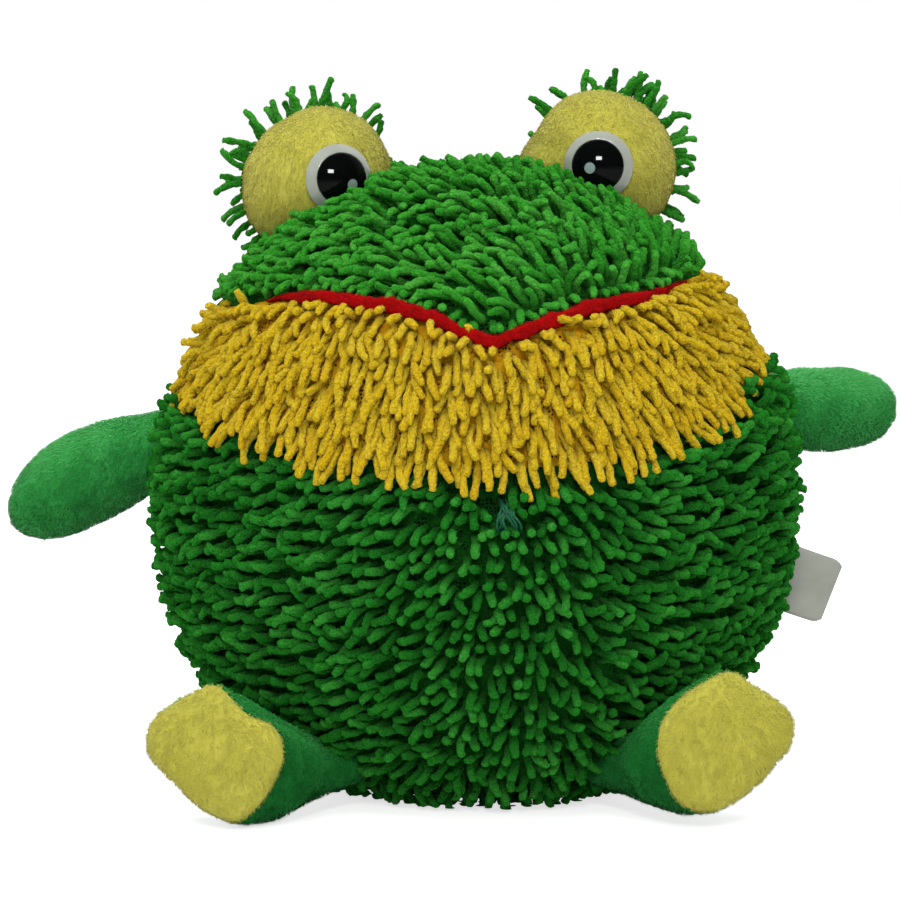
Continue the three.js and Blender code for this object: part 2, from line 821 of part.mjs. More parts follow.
function threadTailSolid() {
  const root = threadRoot();
  const knot = new THREE.SphereGeometry(2 * threadRadius, 8, 5);
  knot.translate(root.x, root.y - threadRadius, root.z);
  const tails = [-0.35, 0.05, 0.5].map((lean) => {
    const tip = root.clone().add(new THREE.Vector3(
      lean * threadLength, -threadLength / 3, -threadLength * 0.7));
    const corners = (centre, radius) => [90, 210, 330].map((turn) => centre.clone()
      .addScaledVector(sideAxis, radius * Math.cos(radians(turn)))
      .addScaledVector(depthAxis, -radius * Math.sin(radians(turn))));
    const start = root.clone().addScaledVector(depthAxis, -threadRadius);
    return solidOf(prismGeometry(corners(start, threadRadius), corners(tip, threadRadius)));
  });
  const room = solidOf(skinGeometry(fitGap));
  return wasm.Manifold.union([solidOf(knot), ...tails]).subtract(room);
}

// Body panels: the cover cut along its seams, with the strands fused to each piece of it

function bodyPanelSolids() {
  const cover = solidOf(skinGeometry(0)).subtract(solidOf(skinGeometry(-coverThickness)));
  const rooms = roomForLimbs();
  const reach = halfWidth + cutOverrun;
  const seam = (curve, shift) => seamPoints(curve, shift, -reach, reach, 30);
  const cutters = {
    crown_panel: curtainSolid(seam(mouthCurve, seamGap / 2), flatLine(crownRise + cutOverrun)),
    muzzle_panel: curtainSolid(seam(chinCurve, seamGap / 2), seam(mouthCurve, -seamGap / 2)),
    belly_panel: curtainSolid(flatLine(-waistHeight - cutOverrun), seam(chinCurve, -seamGap / 2)),
    back_panel: backSolid(),
  };
  const strands = combedStrands();
  const panels = {};
  for (const [name, cutter] of Object.entries(cutters)) {
    const cloth = cover.intersect(cutter).subtract(rooms);
    const pile = strands.filter((strand) => strand.panel === name).map(strandSolid);
    panels[name] = wasm.Manifold.union([cloth, ...pile]);
  }
  return panels;
}

// Colours as the photograph shows them, in sRGB
const colours = {
  chenille_green: { color: 0x317c28, roughness: 0.95 },
  chenille_yellow: { color: 0xd0a822, roughness: 0.95 },
  plush_green: { color: 0x2f8a44, roughness: 0.9 },
  plush_yellow: { color: 0xcfc14e, roughness: 0.9 },
  felt_red: { color: 0xa8120d, roughness: 0.9 },
  eye_white: { color: 0xe8ebe6, roughness: 0.2 },
  eye_black: { color: 0x0b0f0b, roughness: 0.08 },
  label_satin: { color: 0xd6d8cc, roughness: 0.45 },
  thread_teal: { color: 0x10544a, roughness: 0.8 },
  stuffing: { color: 0xf2f0ea, roughness: 1 },
};

const frog = new THREE.Group();

function addNode(name, finish, geometry, matrix) {
  const material = new THREE.MeshStandardMaterial({ ...colours[finish], metalness: 0 });
  const mesh = new THREE.Mesh(geometry, material);
  mesh.name = name;
  if (matrix) mesh.applyMatrix4(matrix);
  frog.add(mesh);
}

function addBody() {
  const panels = bodyPanelSolids();
  for (const [name, solid] of Object.entries(panels)) {
    const finish = name === 'muzzle_panel' ? 'chenille_yellow' : 'chenille_green';
    addNode(name, finish, geometryOf(solid));
  }
  const filling = solidOf(skinGeometry(-coverThickness - fitGap)).subtract(roomForLimbs());
  addNode('body_filling', 'stuffing', geometryOf(filling));
  addNode('mouth_strip', 'felt_red', geometryOf(mouthStripSolid()));
  addNode('side_label', 'label_satin', geometryOf(labelSolid()));
  addNode('thread_tail', 'thread_teal', geometryOf(threadTailSolid()));
}

function addArm(arm) {
  const place = limbFrame(arm.root, arm.along);
  addNode(`${arm.name}_arm_cover`, 'plush_green', closedGeometry(armCoverGeometry()), place);
  addNode(`${arm.name}_arm_filling`, 'stuffing', closedGeometry(armFillingGeometry()), place);
}

function addLeg(leg) {
  addNode(`${leg.name}_leg_cover`, 'plush_green', geometryOf(legCoverSolid(leg)));
  addNode(`${leg.name}_leg_filling`, 'stuffing', geometryOf(legFillingSolid(leg)));
  addNode(`${leg.name}_sole_panel`, 'plush_yellow', closedGeometry(soleGeometry(leg)));
}

function addPod(pod) {
  const place = new THREE.Matrix4().makeRotationZ(radians(-pod.side * podToeIn)).setPosition(pod.centre);
  const eyePlace = place.clone().multiply(eyeMatrix(pod));
  addNode(`${pod.name}_eye_front_panel`, 'plush_yellow', geometryOf(podFrontSolid(pod)), place);
  addNode(`${pod.name}_eye_back_panel`, 'chenille_green', geometryOf(podHalf(false)), place);
  addNode(`${pod.name}_eye_filling`, 'stuffing', geometryOf(podFillingSolid(pod)), place);
  addNode(`${pod.name}_eye_dome`, 'eye_white', closedGeometry(domeGeometry()), eyePlace);
  addNode(`${pod.name}_eye_pupil`, 'eye_black', closedGeometry(pupilGeometry()), eyePlace);
  addNode(`${pod.name}_eye_washer`, 'eye_white', closedGeometry(washerGeometry()), eyePlace);
}

addBody();
arms.forEach(addArm);
legs.forEach(addLeg);
pods.forEach(addPod);

export default frog;
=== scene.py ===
"""Looks of a round stuffed frog in combed chenille, with plush limbs, eye pods and safety eyes."""

import json
import math

import bmesh
import bpy
import numpy as np
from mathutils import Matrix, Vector, noise

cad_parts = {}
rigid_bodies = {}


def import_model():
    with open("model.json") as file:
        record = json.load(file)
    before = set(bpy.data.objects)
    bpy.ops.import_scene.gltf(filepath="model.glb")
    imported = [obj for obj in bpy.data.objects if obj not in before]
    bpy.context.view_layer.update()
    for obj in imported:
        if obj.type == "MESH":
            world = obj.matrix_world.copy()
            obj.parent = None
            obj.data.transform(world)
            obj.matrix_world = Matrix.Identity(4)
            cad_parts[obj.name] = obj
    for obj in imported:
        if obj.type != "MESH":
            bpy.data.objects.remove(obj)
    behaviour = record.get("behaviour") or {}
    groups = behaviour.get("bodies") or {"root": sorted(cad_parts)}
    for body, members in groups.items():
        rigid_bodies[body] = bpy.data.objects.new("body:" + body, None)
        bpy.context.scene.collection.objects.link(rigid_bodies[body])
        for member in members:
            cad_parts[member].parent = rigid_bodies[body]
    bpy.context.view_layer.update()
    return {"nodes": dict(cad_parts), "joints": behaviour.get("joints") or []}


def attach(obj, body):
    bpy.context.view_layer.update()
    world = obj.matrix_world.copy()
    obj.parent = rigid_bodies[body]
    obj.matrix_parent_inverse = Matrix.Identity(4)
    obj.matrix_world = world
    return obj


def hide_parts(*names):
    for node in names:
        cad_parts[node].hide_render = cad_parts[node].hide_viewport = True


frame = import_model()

MM = 0.001

# The stuffed body's skin, in metres
HALF_WIDTH = 88 * MM
HALF_DEPTH = 81 * MM
CROWN_RISE = 88 * MM
WAIST_HEIGHT = 91 * MM
SEAT_RADIUS = 32 * MM
CROWN_ROUNDNESS = 2.15
SEAT_ROUNDNESS = 2.3
SEAT_RISE = WAIST_HEIGHT / (1 - (SEAT_RADIUS / HALF_WIDTH) ** SEAT_ROUNDNESS) ** (1 / SEAT_ROUNDNESS)
BODY_CENTRE = np.array([0.0, 0.0, WAIST_HEIGHT])
LEAN = math.radians(2.8)
SIDE_SEAM_SETBACK = 12 * MM
CLOTH_THICKNESS = 2.2 * MM
CLOTH_FINENESS = 6
EDGE_HALVINGS = 14
FLOOR_CLEARANCE = 0.4 * MM

# Seams as shares of the half width and the crown rise, seen from the front
MOUTH_SHARES = [
    (-1.3, 0.6), (-0.85, 0.63), (-0.63, 0.664), (-0.5, 0.672), (-0.37, 0.66), (-0.21, 0.634),
    (-0.085, 0.59), (0.0, 0.545), (0.067, 0.52), (0.14, 0.532), (0.25, 0.567), (0.4, 0.6),
    (0.57, 0.622), (0.716, 0.655), (0.85, 0.66), (1.3, 0.63),
]
CHIN_SHARES = [
    (-1.3, 0.5), (-0.91, 0.36), (-0.75, 0.273), (-0.55, 0.216), (-0.32, 0.174), (-0.13, 0.148),
    (0.05, 0.13), (0.28, 0.125), (0.47, 0.145), (0.67, 0.2), (0.82, 0.272), (0.9, 0.36), (1.3, 0.5),
]
MOUTH_LEFT_SHARE = -0.64
MOUTH_RIGHT_SHARE = 0.72

# The felt in the mouth seam, and its section as shares of its height and how far it stands out
MOUTH_STRIP_HEIGHT = 3.7 * MM
MOUTH_STRIP_STANDOUT = 5.6 * MM
MOUTH_STRIP_ROOTING = 0.6 * MM
MOUTH_STRIP_STEPS = 180
MOUTH_STRIP_SECTION = [
    (-0.5, 0.0), (-0.5, 0.35), (-0.5, 0.8), (-0.46, 0.95), (-0.34, 0.99), (-0.17, 1.0), (0.0, 1.0),
    (0.17, 1.0), (0.34, 0.99), (0.46, 0.95), (0.5, 0.8), (0.5, 0.35), (0.5, 0.0), (0.0, -0.05)]

# Chenille noodles
NOODLE_RADIUS = 1.34 * MM
NOODLE_LENGTH = 16 * MM
NOODLE_ROOTING = 1.6 * MM
NOODLE_FORMS = 12
NOODLE_SIDES = 6
NOODLE_SHARES = [0.0, 0.11, 0.22, 0.33, 0.45, 0.57, 0.69, 0.81, 0.91, 0.975]
LENGTH_SPREAD = 0.12

# The pile of each body panel: gaps between rows and along them, how far it keeps from its seams,
# how steeply it stands out of its cloth and how much its combing strays, both in degrees
PILE_LENGTH = {"crown": 10.8 * MM, "muzzle": 13 * MM, "belly": 10 * MM, "back": 10.5 * MM}
PILE_THICKNESS = {"crown": 0.95, "muzzle": 0.92, "belly": 1.03, "back": 1.0}
PILE_ROWS = {
    "crown": (3.7 * MM, 3.6 * MM), "muzzle": (3.7 * MM, 3.5 * MM),
    "belly": (4.98 * MM, 3.46 * MM), "back": (5.7 * MM, 5.0 * MM)}
PILE_EDGE = {"crown": 1.5 * MM, "muzzle": 0.9 * MM, "belly": 3.1 * MM, "back": 1.2 * MM}
PILE_LIFT = {"crown": 38.0, "muzzle": 29.0, "belly": 38.0, "back": 40.0}
LIFT_SPREAD = 6
LIFT_RANGE = (10, 81)
PILE_SCATTER = {"crown": 16, "muzzle": 8, "belly": 13, "back": 12}
PILE_SEED = {"crown": 3, "muzzle": 5, "belly": 8, "back": 13}
PILE_CROWDING = 0.62
PILE_FLOOR_ROOM = 2.4 * MM
STRAY_SHARE = 0.035

# The way the pile is combed, as degrees from the toy's left in the front view, at shares of the
# half width; the muzzle's fan is counted from straight down
CROWN_COMB = ([-1, -0.6, -0.25, 0.0, 0.2, 0.45, 0.65, 0.9], [190, 180, 166, 150, 126, 106, 92, 62])
MUZZLE_FAN = (
    [-1, -0.85, -0.5, -0.22, 0.0, 0.28, 0.57, 0.85, 1], [-58, -50, -28, -14, 0, 18, 36, 55, 62])
BELLY_COMB = (
    [-1, -0.6, -0.35, -0.12, 0.02, 0.14, 0.26, 0.42, 0.6, 1],
    [184, 188, 194, 212, 245, 275, 308, 342, 362, 376])
STRAIGHT_DOWN = 270

# Noodles beside the mouth: how far each row lies from the seam, where the panel's own rows begin,
# the gap along a row, how far back on the head they end and how near the outline they come
LIP_ROWS = {
    "crown": (2.9 * MM, 5.0 * MM, 7.1 * MM, 9.3 * MM),
    "muzzle": (2.8 * MM, 4.9 * MM, 7.0 * MM, 9.2 * MM)}
LIP_PAST = {"crown": 11.0 * MM, "muzzle": 10.8 * MM}
LIP_GAP = 2.9 * MM
LIP_SETBACK = 15 * MM
LIP_RIM = 0.985

# Muzzle noodles that stick out at the mouth's middle and corners: share of the half width, how far
# below the mouth, the way they point and their share of the length
MUZZLE_STRAYS = [
    (0.0, 2.4 * MM, (0.05, -0.6, 0.85), 0.66), (-0.72, 2.5 * MM, (-0.3, -0.45, 0.85), 0.8),
    (-0.77, 4.5 * MM, (-0.7, -0.4, 0.6), 0.85), (-0.82, 7.5 * MM, (-0.85, -0.35, 0.3), 0.9),
    (-0.84, 10.0 * MM, (-0.95, -0.3, 0.12), 1.0), (-0.85, 12.5 * MM, (-0.95, -0.3, -0.05), 1.0),
    (-0.8, 6.5 * MM, (-0.8, -0.5, 0.2), 1.0),
    (0.74, 2.6 * MM, (0.6, -0.35, 0.7), 0.75), (0.79, 5.0 * MM, (0.85, -0.3, 0.4), 0.8)]

# Short fibres of the brushed plush and the felt: their lift out of the cloth in degrees, the
# size of the strokes they were brushed with, and their density in fibres to a square millimetre
FIBRE_LENGTH = 2.0 * MM
FIBRE_RADIUS = 0.1 * MM
FIBRE_FORMS = 4
FIBRE_ROOTING = 0.25 * MM
FIBRE_LIFT = 30
FIBRE_LIFT_SPREAD = 8
FIBRE_LIFT_RANGE = (12, 70)
STROKE_SIZE = 9 * MM
PLUSH_DENSITY = 2.6
FELT_DENSITY = 3.2
LIMB_NAP = 1.7 * MM
SOLE_NAP = 1.5 * MM
POD_NAP = 1.4 * MM
FELT_NAP = 0.9 * MM

# Eye pods: outline shares by the angle round them. The rows of noodles on their backs are degrees
# from the front and a count; the bare stretch of the fringe and the tuft are degrees round the pod
POD_RADIUS = 22.5 * MM
POD_TOE_IN = math.radians(12)
POD_WALL = 3.5 * MM
POD_SHARES = {
    "right": [1.02, 0.99, 0.985, 0.96, 0.9, 0.93, 1.0, 1.07, 1.06, 1.0, 1.0, 1.0],
    "left": [0.98, 0.97, 0.97, 1.0, 1.02, 0.98, 1.12, 1.08, 1.0, 1.0, 1.0, 0.98],
}
POD_PILE_LENGTH = 10.5 * MM
POD_PILE_THICKNESS = 0.8
POD_PILE_ROWS = ((96, 21), (110, 20), (123, 25), (137, 22), (150, 16), (162, 10), (174, 4))
BARE_FRINGE = {"right": (-60, 36), "left": (158, 240)}
POD_TUFT = {"right": (), "left": (48, 54, 60, 66, 72, 57, 64)}
NOD_BACK = math.radians(20)

# Safety eyes
EYE_TURN = {"right": math.radians(21), "left": math.radians(6)}
EYE_TILT = math.radians(0.5)
DOME_RADIUS = 10.2 * MM
DOME_HEIGHT = 5.6 * MM
DOME_FOOT = -1.6 * MM
SHANK_RADIUS = 3 * MM
SHANK_DEPTH = 6 * MM
PUPIL_RADIUS = 7.6 * MM
PUPIL_RISE = 0.25 * MM
DOT_RADIUS = 1.7 * MM
DOT_PLACE = {"right": (2.5 * MM, -1.7 * MM), "left": (-2.2 * MM, -0.7 * MM)}

# Arms; places and widths are shares of the length and the radius, from inside the body to the end
ARM_DROOP = {"right": math.radians(26), "left": math.radians(3)}
ARM_SWEEP = {"right": 0.0, "left": math.radians(40)}
ARM_LENGTH = {"right": 61 * MM, "left": 59.5 * MM}
ARM_RADIUS = {"right": 14.2 * MM, "left": 12.7 * MM}
ARM_ROOT_RADIUS = 10.4 * MM
ARM_BOW = {"right": 2.6 * MM, "left": -0.6 * MM}
ARM_START = -0.16
ARM_FLATNESS = 0.94
ARM_PLACES = [-0.16, -0.1, 0.0, 0.1, 0.19, 0.37, 0.55, 0.7, 0.8, 0.88, 0.94, 0.98, 1.0]
ARM_WIDTHS = {
    "right": [0.3, 0.5, 0.64, 0.69, 0.76, 0.94, 1.0, 0.95, 0.84, 0.69, 0.5, 0.28, 0.0],
    "left": [0.32, 0.58, 0.74, 0.8, 0.88, 0.98, 1.0, 0.96, 0.88, 0.75, 0.56, 0.32, 0.0],
}

# Legs and soles; the knee and the ankle lead a leg's bent line, in shares of the sole's radius
LEG_ROOT_RADIUS = 5.8 * MM
LEG_REACH_OUT = {"right": 33.0 * MM, "left": 31.7 * MM}
LEG_REACH_FORWARD = 20.6 * MM
LEG_START_SHIFT = (3.2 * MM, 3.8 * MM, -2.6 * MM)
KNEE_REACH = (0.55, -0.3, 0.0)
ANKLE_SETBACK = 0.35
ANKLE_DRAW_IN = {"right": 7 * MM, "left": 9 * MM}
ANKLE_DROP = {"right": 6 * MM, "left": 4 * MM}
LEG_EVENNESS = {"right": 0.8, "left": 0.6}
LEG_WALL = 3.2 * MM
FOOT_HEIGHT = {"right": 21.2 * MM, "left": 23.2 * MM}
SOLE_RADIUS = 20.3 * MM
SOLE_YAW = math.radians(14)
SOLE_TILT = math.radians(6)
SOLE_BULGE = 4.6 * MM
SOLE_SETBACK = 0.3 * MM
SOLE_SECTION = [
    (0.93, 0.0), (0.985, 0.14), (0.99, 0.26), (0.97, 0.42), (0.92, 0.58), (0.84, 0.72),
    (0.72, 0.84), (0.56, 0.92), (0.38, 0.97), (0.2, 1.0)]
SOLE_SHARES = {
    "right": [
        1.02, 0.97, 0.75, 0.77, 0.94, 0.88, 0.9, 1.0, 0.97, 0.78, 0.7, 0.74, 0.85, 1.0, 0.97, 0.96],
    "left": [
        0.87, 0.96, 0.9, 0.89, 1.03, 0.98, 1.0, 1.07, 1.08, 1.06, 1.08, 0.97, 0.79, 0.67, 0.65, 0.69],
}

# Side label; its length is what is cut, with the part in the seam
LABEL_HEIGHT = 20.4 * MM
LABEL_STANDOUT = 25.6 * MM
LABEL_LENGTH = 1.12 * LABEL_STANDOUT
LABEL_THICKNESS = 0.5 * MM
LABEL_ELEVATION = -20.5
LABEL_DROOP = math.radians(20)
LABEL_CURL = 2.6 * MM
LABEL_BELLY = 1.0 * MM
LABEL_ROOM = 2.2 * MM

# Thread tail
THREAD_RADIUS = 0.36 * MM
THREAD_LENGTH = 9.5 * MM
THREAD_STRANDS = 14
THREAD_AZIMUTH = -85.4
THREAD_ELEVATION = 2.4
THREAD_STANDOUT = 5.0 * MM
THREAD_BOW = 2.4 * MM
THREAD_SWAY = 0.8 * MM
THREAD_SPREAD = 3.5 * MM
THREAD_ROOM = 3.3 * MM

# How much room the crown's noodles leave for each dome, as a share of its radius
DOME_VIEW = {"right": 0.9, "left": 0.62}

# Stuffing keeps this far inside its cover
BODY_FILLING_INSET = 1.0 * MM
LIMB_FILLING_INSET = 2.6 * MM

# Seeds of the random draws and of the soft noise that starts from them
SEEDS = {
    "noodle_forms": 11, "fibre_forms": 41, "thread": 21, "pod_roots": 31, "pod_noodles": 17,
    "arm_nap": 51, "leg_nap": 61, "sole_nap": 71, "pod_nap": 81, "felt_nap": 91}

# Camera; the picture is this many pixels wide and high, and the body's centre is at that pixel
SENSOR = 36.0
CAMERA_DISTANCE = 0.95
CAMERA_ELEVATION = math.radians(6)
FRAME_WIDTH = 0.27
FRAME_PIXELS = 900
CENTRE_PIXEL = (475, 480)

# Lamps: place in metres, size in metres and power in watts
LAMPS = {
    "top_softbox": ((-0.1, -0.4, 1.15), (0.9, 0.7), 9.0),
    "left_softbox": ((-0.95, -0.75, 0.6), (0.5, 0.7), 1.5),
    "right_softbox": ((0.95, -0.75, 0.6), (0.5, 0.7), 1.5),
    "front_softbox": ((0.0, -1.1, 0.68), (0.22, 0.14), 3.6),
    "window": ((-0.06, -1.1, 0.62), (0.32, 0.2), 28.0),
}
FLOOR_GLOW = 0.7
FILL_LEVEL = 0.42

PANELS = ("crown", "muzzle", "belly", "back")
SIDES = {"right": -1, "left": 1}
UP = np.array([0.0, 0.0, 1.0])


# The body's skin and its seams

def unit(vectors):
    """Vectors of length one, the same ways."""
    vectors = np.asarray(vectors, float)
    return vectors / np.maximum(np.linalg.norm(vectors, axis=-1, keepdims=True), 1e-12)


def component(vectors, along):
    """How far each vector runs along another, as a column."""
    return np.sum(vectors * along, axis=-1, keepdims=True)


def fade(value, start, span):
    """0 up to the start, then rising to 1 over the span."""
    return np.clip((value - start) / span, 0, 1)


def nearness(distance, reach):
    """1 where there is no distance, falling to 0 at the reach."""
    return np.clip(1 - distance / reach, 0, 1)


def eased(share):
    """A share that leaves 0 and comes to 1 gently."""
    return share * share * (3 - 2 * share)


def catmull_rom(a, b, c, d, t):
    """A smooth way from b to c by the share t, led by what comes before and after."""
    return 0.5 * (
        2 * b + (c - a) * t + (2 * a - 5 * b + 4 * c - d) * t ** 2
        + (3 * b - a - 3 * c + d) * t ** 3)


def turned_y(vectors, angle):
    """Vectors turned about the axis from front to back."""
    x, y, z = np.moveaxis(np.asarray(vectors, float), -1, 0)
    c, s = math.cos(angle), math.sin(angle)
    return np.stack([x * c + z * s, y, -x * s + z * c], axis=-1)


def to_toy(points):
    """Points as seen from the body's centre, with the toy's lean taken out."""
    return turned_y(np.asarray(points) - BODY_CENTRE, LEAN)


def from_toy_way(ways):
    """Ways given on the upright toy, as they are on the leaning one."""
    return turned_y(ways, -LEAN)


def skin_point(ways, outset=0.0):
    """Where the line from the body's centre along each way meets the skin."""
    ways = unit(ways)
    below = ways[..., 2] < 0
    roundness = np.where(below, SEAT_ROUNDNESS, CROWN_ROUNDNESS)
    rise = np.where(below, SEAT_RISE, CROWN_RISE) + outset
    level = np.hypot(ways[..., 0] / (HALF_WIDTH + outset), ways[..., 1] / (HALF_DEPTH + outset))
    reach = (level ** roundness + (np.abs(ways[..., 2]) / rise) ** roundness) ** (-1 / roundness)
    points = BODY_CENTRE + ways * reach[..., None]
    points[..., 2] = np.maximum(points[..., 2], -outset)
    return points


def above_skin(points):
    """How far each point stands out of the skin, on the line from the body's centre."""
    away = points - BODY_CENTRE
    skin = np.linalg.norm(skin_point(away) - BODY_CENTRE, axis=1)
    return np.linalg.norm(away, axis=1) - skin


def skin_normal(points):
    """The way the skin faces at each of its points."""
    away = points - BODY_CENTRE
    below = away[..., 2] < 0
    roundness = np.where(below, SEAT_ROUNDNESS, CROWN_ROUNDNESS)
    rise = np.where(below, SEAT_RISE, CROWN_RISE)
    level = np.hypot(away[..., 0] / HALF_WIDTH, away[..., 1] / HALF_DEPTH)
    pull = np.maximum(level, 1e-6) ** (roundness - 2)
    lift = (np.maximum(np.abs(away[..., 2]), 1e-9) / rise) ** (roundness - 2) / rise ** 2
    return unit(np.stack([
        pull * away[..., 0] / HALF_WIDTH ** 2,
        pull * away[..., 1] / HALF_DEPTH ** 2,
        lift * away[..., 2],
    ], axis=-1))


def way_at(azimuth, elevation):
    """A way by its angle round the toy from its left and its angle above the level, in degrees."""
    level = np.cos(np.radians(elevation))
    return np.stack(np.broadcast_arrays(
        level * np.cos(np.radians(azimuth)),
        level * np.sin(np.radians(azimuth)),
        np.sin(np.radians(elevation)),
    ), axis=-1)


def smooth_line(shares):
    """A smooth line through the points, as dense arrays of x and z in metres."""
    points = np.array(shares)
    padded = np.vstack([2 * points[0] - points[1], points, 2 * points[-1] - points[-2]])
    dense = []
    for i in range(len(points) - 1):
        for t in np.linspace(0, 1, 12, endpoint=False):
            dense.append(catmull_rom(*padded[i:i + 4], t))
    dense = np.array([*dense, points[-1]])
    return dense[:, 0] * HALF_WIDTH, dense[:, 1] * CROWN_RISE


MOUTH_LINE = smooth_line(MOUTH_SHARES)
CHIN_LINE = smooth_line(CHIN_SHARES)


def mouth_at(across):
    """Height of the mouth's seam in the toy's front view."""
    return np.interp(across, *MOUTH_LINE)


def chin_at(across):
    """Height of the seam below the muzzle in the toy's front view."""
    return np.interp(across, *CHIN_LINE)


def above_mouth(toy):
    return toy[..., 2] - mouth_at(toy[..., 0])


def above_chin(toy):
    return toy[..., 2] - chin_at(toy[..., 0])


def panel_room(panel, points):
    """How far inside a panel's seams each point lies, negative outside."""
    toy = to_toy(points)
    front = SIDE_SEAM_SETBACK - toy[..., 1]
    if panel == "crown":
        return np.minimum(front, above_mouth(toy))
    if panel == "muzzle":
        return np.minimum(front, np.minimum(-above_mouth(toy), above_chin(toy)))
    if panel == "belly":
        return np.minimum(front, -above_chin(toy))
    return -front


# Where the limbs are sewn on

def joint_place(name):
    for joint in frame["joints"]:
        if joint["name"] == name:
            return np.array(joint["pos_m"], float)
    raise SystemExit(f"no joint named {name}")


ARM_ROOT = {name: joint_place(f"{name}_arm_wave") for name in SIDES}
LEG_ROOT = {name: joint_place(f"{name}_leg_splay") for name in SIDES}
LEG_START = {
    name: LEG_ROOT[name] + np.array([-SIDES[name], 1, 1]) * LEG_START_SHIFT for name in SIDES}
POD_CENTRE = {name: joint_place(f"{name}_eye_nod") for name in SIDES}


def arm_way(name):
    """The way an arm points from its root."""
    droop, sweep = ARM_DROOP[name], ARM_SWEEP[name]
    return np.array([
        SIDES[name] * math.cos(droop) * math.cos(sweep),
        math.cos(droop) * math.sin(sweep),
        -math.sin(droop)])


def sole_way(name):
    """The way a sole faces."""
    return unit(np.array([
        SIDES[name] * math.sin(SOLE_YAW), -math.cos(SOLE_YAW), math.sin(SOLE_TILT)]))


def sole_centre(name):
    """The middle of a sole's seam."""
    root = LEG_ROOT[name]
    return np.array([
        root[0] + SIDES[name] * LEG_REACH_OUT[name], root[1] - LEG_REACH_FORWARD, FOOT_HEIGHT[name]])


def leg_line(name, shares):
    """Points and directions along a leg's bent middle line."""
    root, sole = LEG_START[name], sole_centre(name)
    knee = root + SOLE_RADIUS * np.array([SIDES[name], 1, 1]) * KNEE_REACH
    draw_in = np.array([SIDES[name] * ANKLE_DRAW_IN[name], 0.0, ANKLE_DROP[name]])
    ankle = sole - ANKLE_SETBACK * SOLE_RADIUS * sole_way(name) - draw_in
    t = np.asarray(shares, float)[:, None]
    a, b, c, d = root, knee, ankle, sole
    points = (1 - t) ** 3 * a + 3 * (1 - t) ** 2 * t * b + 3 * (1 - t) * t ** 2 * c + t ** 3 * d
    runs = 3 * (1 - t) ** 2 * (b - a) + 6 * (1 - t) * t * (c - b) + 3 * t ** 2 * (d - c)
    return points, unit(runs)


def arm_section(name, share):
    """Radius of an arm at a share of its length."""
    return np.interp(share, ARM_PLACES, ARM_WIDTHS[name]) * ARM_RADIUS[name]


def leg_radius(name, shares):
    """Radius of a leg that widens toward its sole, evenly or more in its middle."""
    swell = np.clip(np.asarray(shares), 0, 1)
    evenness = LEG_EVENNESS[name]
    swell = evenness * eased(swell) + (1 - evenness) * swell
    return LEG_ROOT_RADIUS + (SOLE_RADIUS - LEG_ROOT_RADIUS) * swell


def eye_way(name):
    """The way a safety eye looks."""
    turn = EYE_TURN[name]
    return unit(np.array([-SIDES[name] * math.sin(turn), -math.cos(turn), math.sin(EYE_TILT)]))


def limb_balls():
    """Balls that fill the arms, legs, pods and safety eyes, as rows of centre and radius."""
    balls = []
    for name in SIDES:
        for share in np.linspace(0.12, 0.96, 9):
            spot = ARM_ROOT[name] + arm_way(name) * share * ARM_LENGTH[name]
            balls.append((spot, arm_section(name, share)))
        shares = np.linspace(0, 0.95, 8)
        points, _ = leg_line(name, shares)
        for point, radius, share in zip(points, leg_radius(name, shares), shares):
            balls.append((point, radius * (0.6 if share < 0.3 else 0.9)))
        balls.append((POD_CENTRE[name], POD_RADIUS))
        dome = DOME_VIEW[name] * DOME_RADIUS
        balls.append((POD_CENTRE[name] + eye_way(name) * (1.36 * POD_RADIUS - 0.92 * dome), dome))
    return balls


LIMB_BALLS = limb_balls()


# Meshes

def shown(made):
    """Puts a new object in the scene."""
    bpy.context.scene.collection.objects.link(made)
    return made


def new_object(name, vertices, faces):
    mesh = bpy.data.meshes.new(name)
    mesh.from_pydata([tuple(map(float, v)) for v in vertices], [], [tuple(map(int, f)) for f in faces])
    mesh.update()
    return shown(bpy.data.objects.new(name, mesh))


def outward(work):
    """Merges the double points of a mesh at work and turns its faces outward."""
    bmesh.ops.remove_doubles(work, verts=work.verts, dist=1e-6)
    bmesh.ops.recalc_face_normals(work, faces=work.faces)


def tidy_faces(made):
    """Merges doubles, turns the faces outward and shades them smooth."""
    work = bmesh.new()
    work.from_mesh(made.data)
    outward(work)
    work.to_mesh(made.data)
    work.free()
    made.data.shade_smooth()
    return made


def set_attribute(made, name, values):
    """Stores a value or a vector with each point of an object."""
    values = np.asarray(values, np.float32)
    kind = "FLOAT_VECTOR" if values.ndim == 2 else "FLOAT"
    field = "vector" if values.ndim == 2 else "value"
    attribute = made.data.attributes.new(name, kind, "POINT")
    attribute.data.foreach_set(field, values.reshape(-1))


def points_of(made):
    points = np.zeros(len(made.data.vertices) * 3, np.float32)
    made.data.vertices.foreach_get("co", points)
    return points.reshape(-1, 3).astype(float)


def move_points(made, points):
    made.data.vertices.foreach_set("co", np.asarray(points, np.float32).reshape(-1))
    made.data.update()


def relaxed(made, times):
    """Evens out a skin, so that rings of different widths run into each other."""
    work = bmesh.new()
    work.from_mesh(made.data)
    for _ in range(times):
        bmesh.ops.smooth_vert(
            work, verts=work.verts, factor=0.5, use_axis_x=True, use_axis_y=True, use_axis_z=True)
    work.to_mesh(made.data)
    work.free()


def baked(made):
    """Turns an object's modifiers into plain mesh."""
    seen = made.evaluated_get(bpy.context.evaluated_depsgraph_get())
    mesh = bpy.data.meshes.new_from_object(seen)
    mesh.name = made.name
    made.modifiers.clear()
    made.data = mesh
    return made


def walled(made, thickness, offset):
    """Gives a sheet its thickness, all of it behind the sheet at -1 and half on each side at 0."""
    wall = made.modifiers.new("wall", "SOLIDIFY")
    wall.thickness = thickness
    wall.offset = offset
    return baked(made)


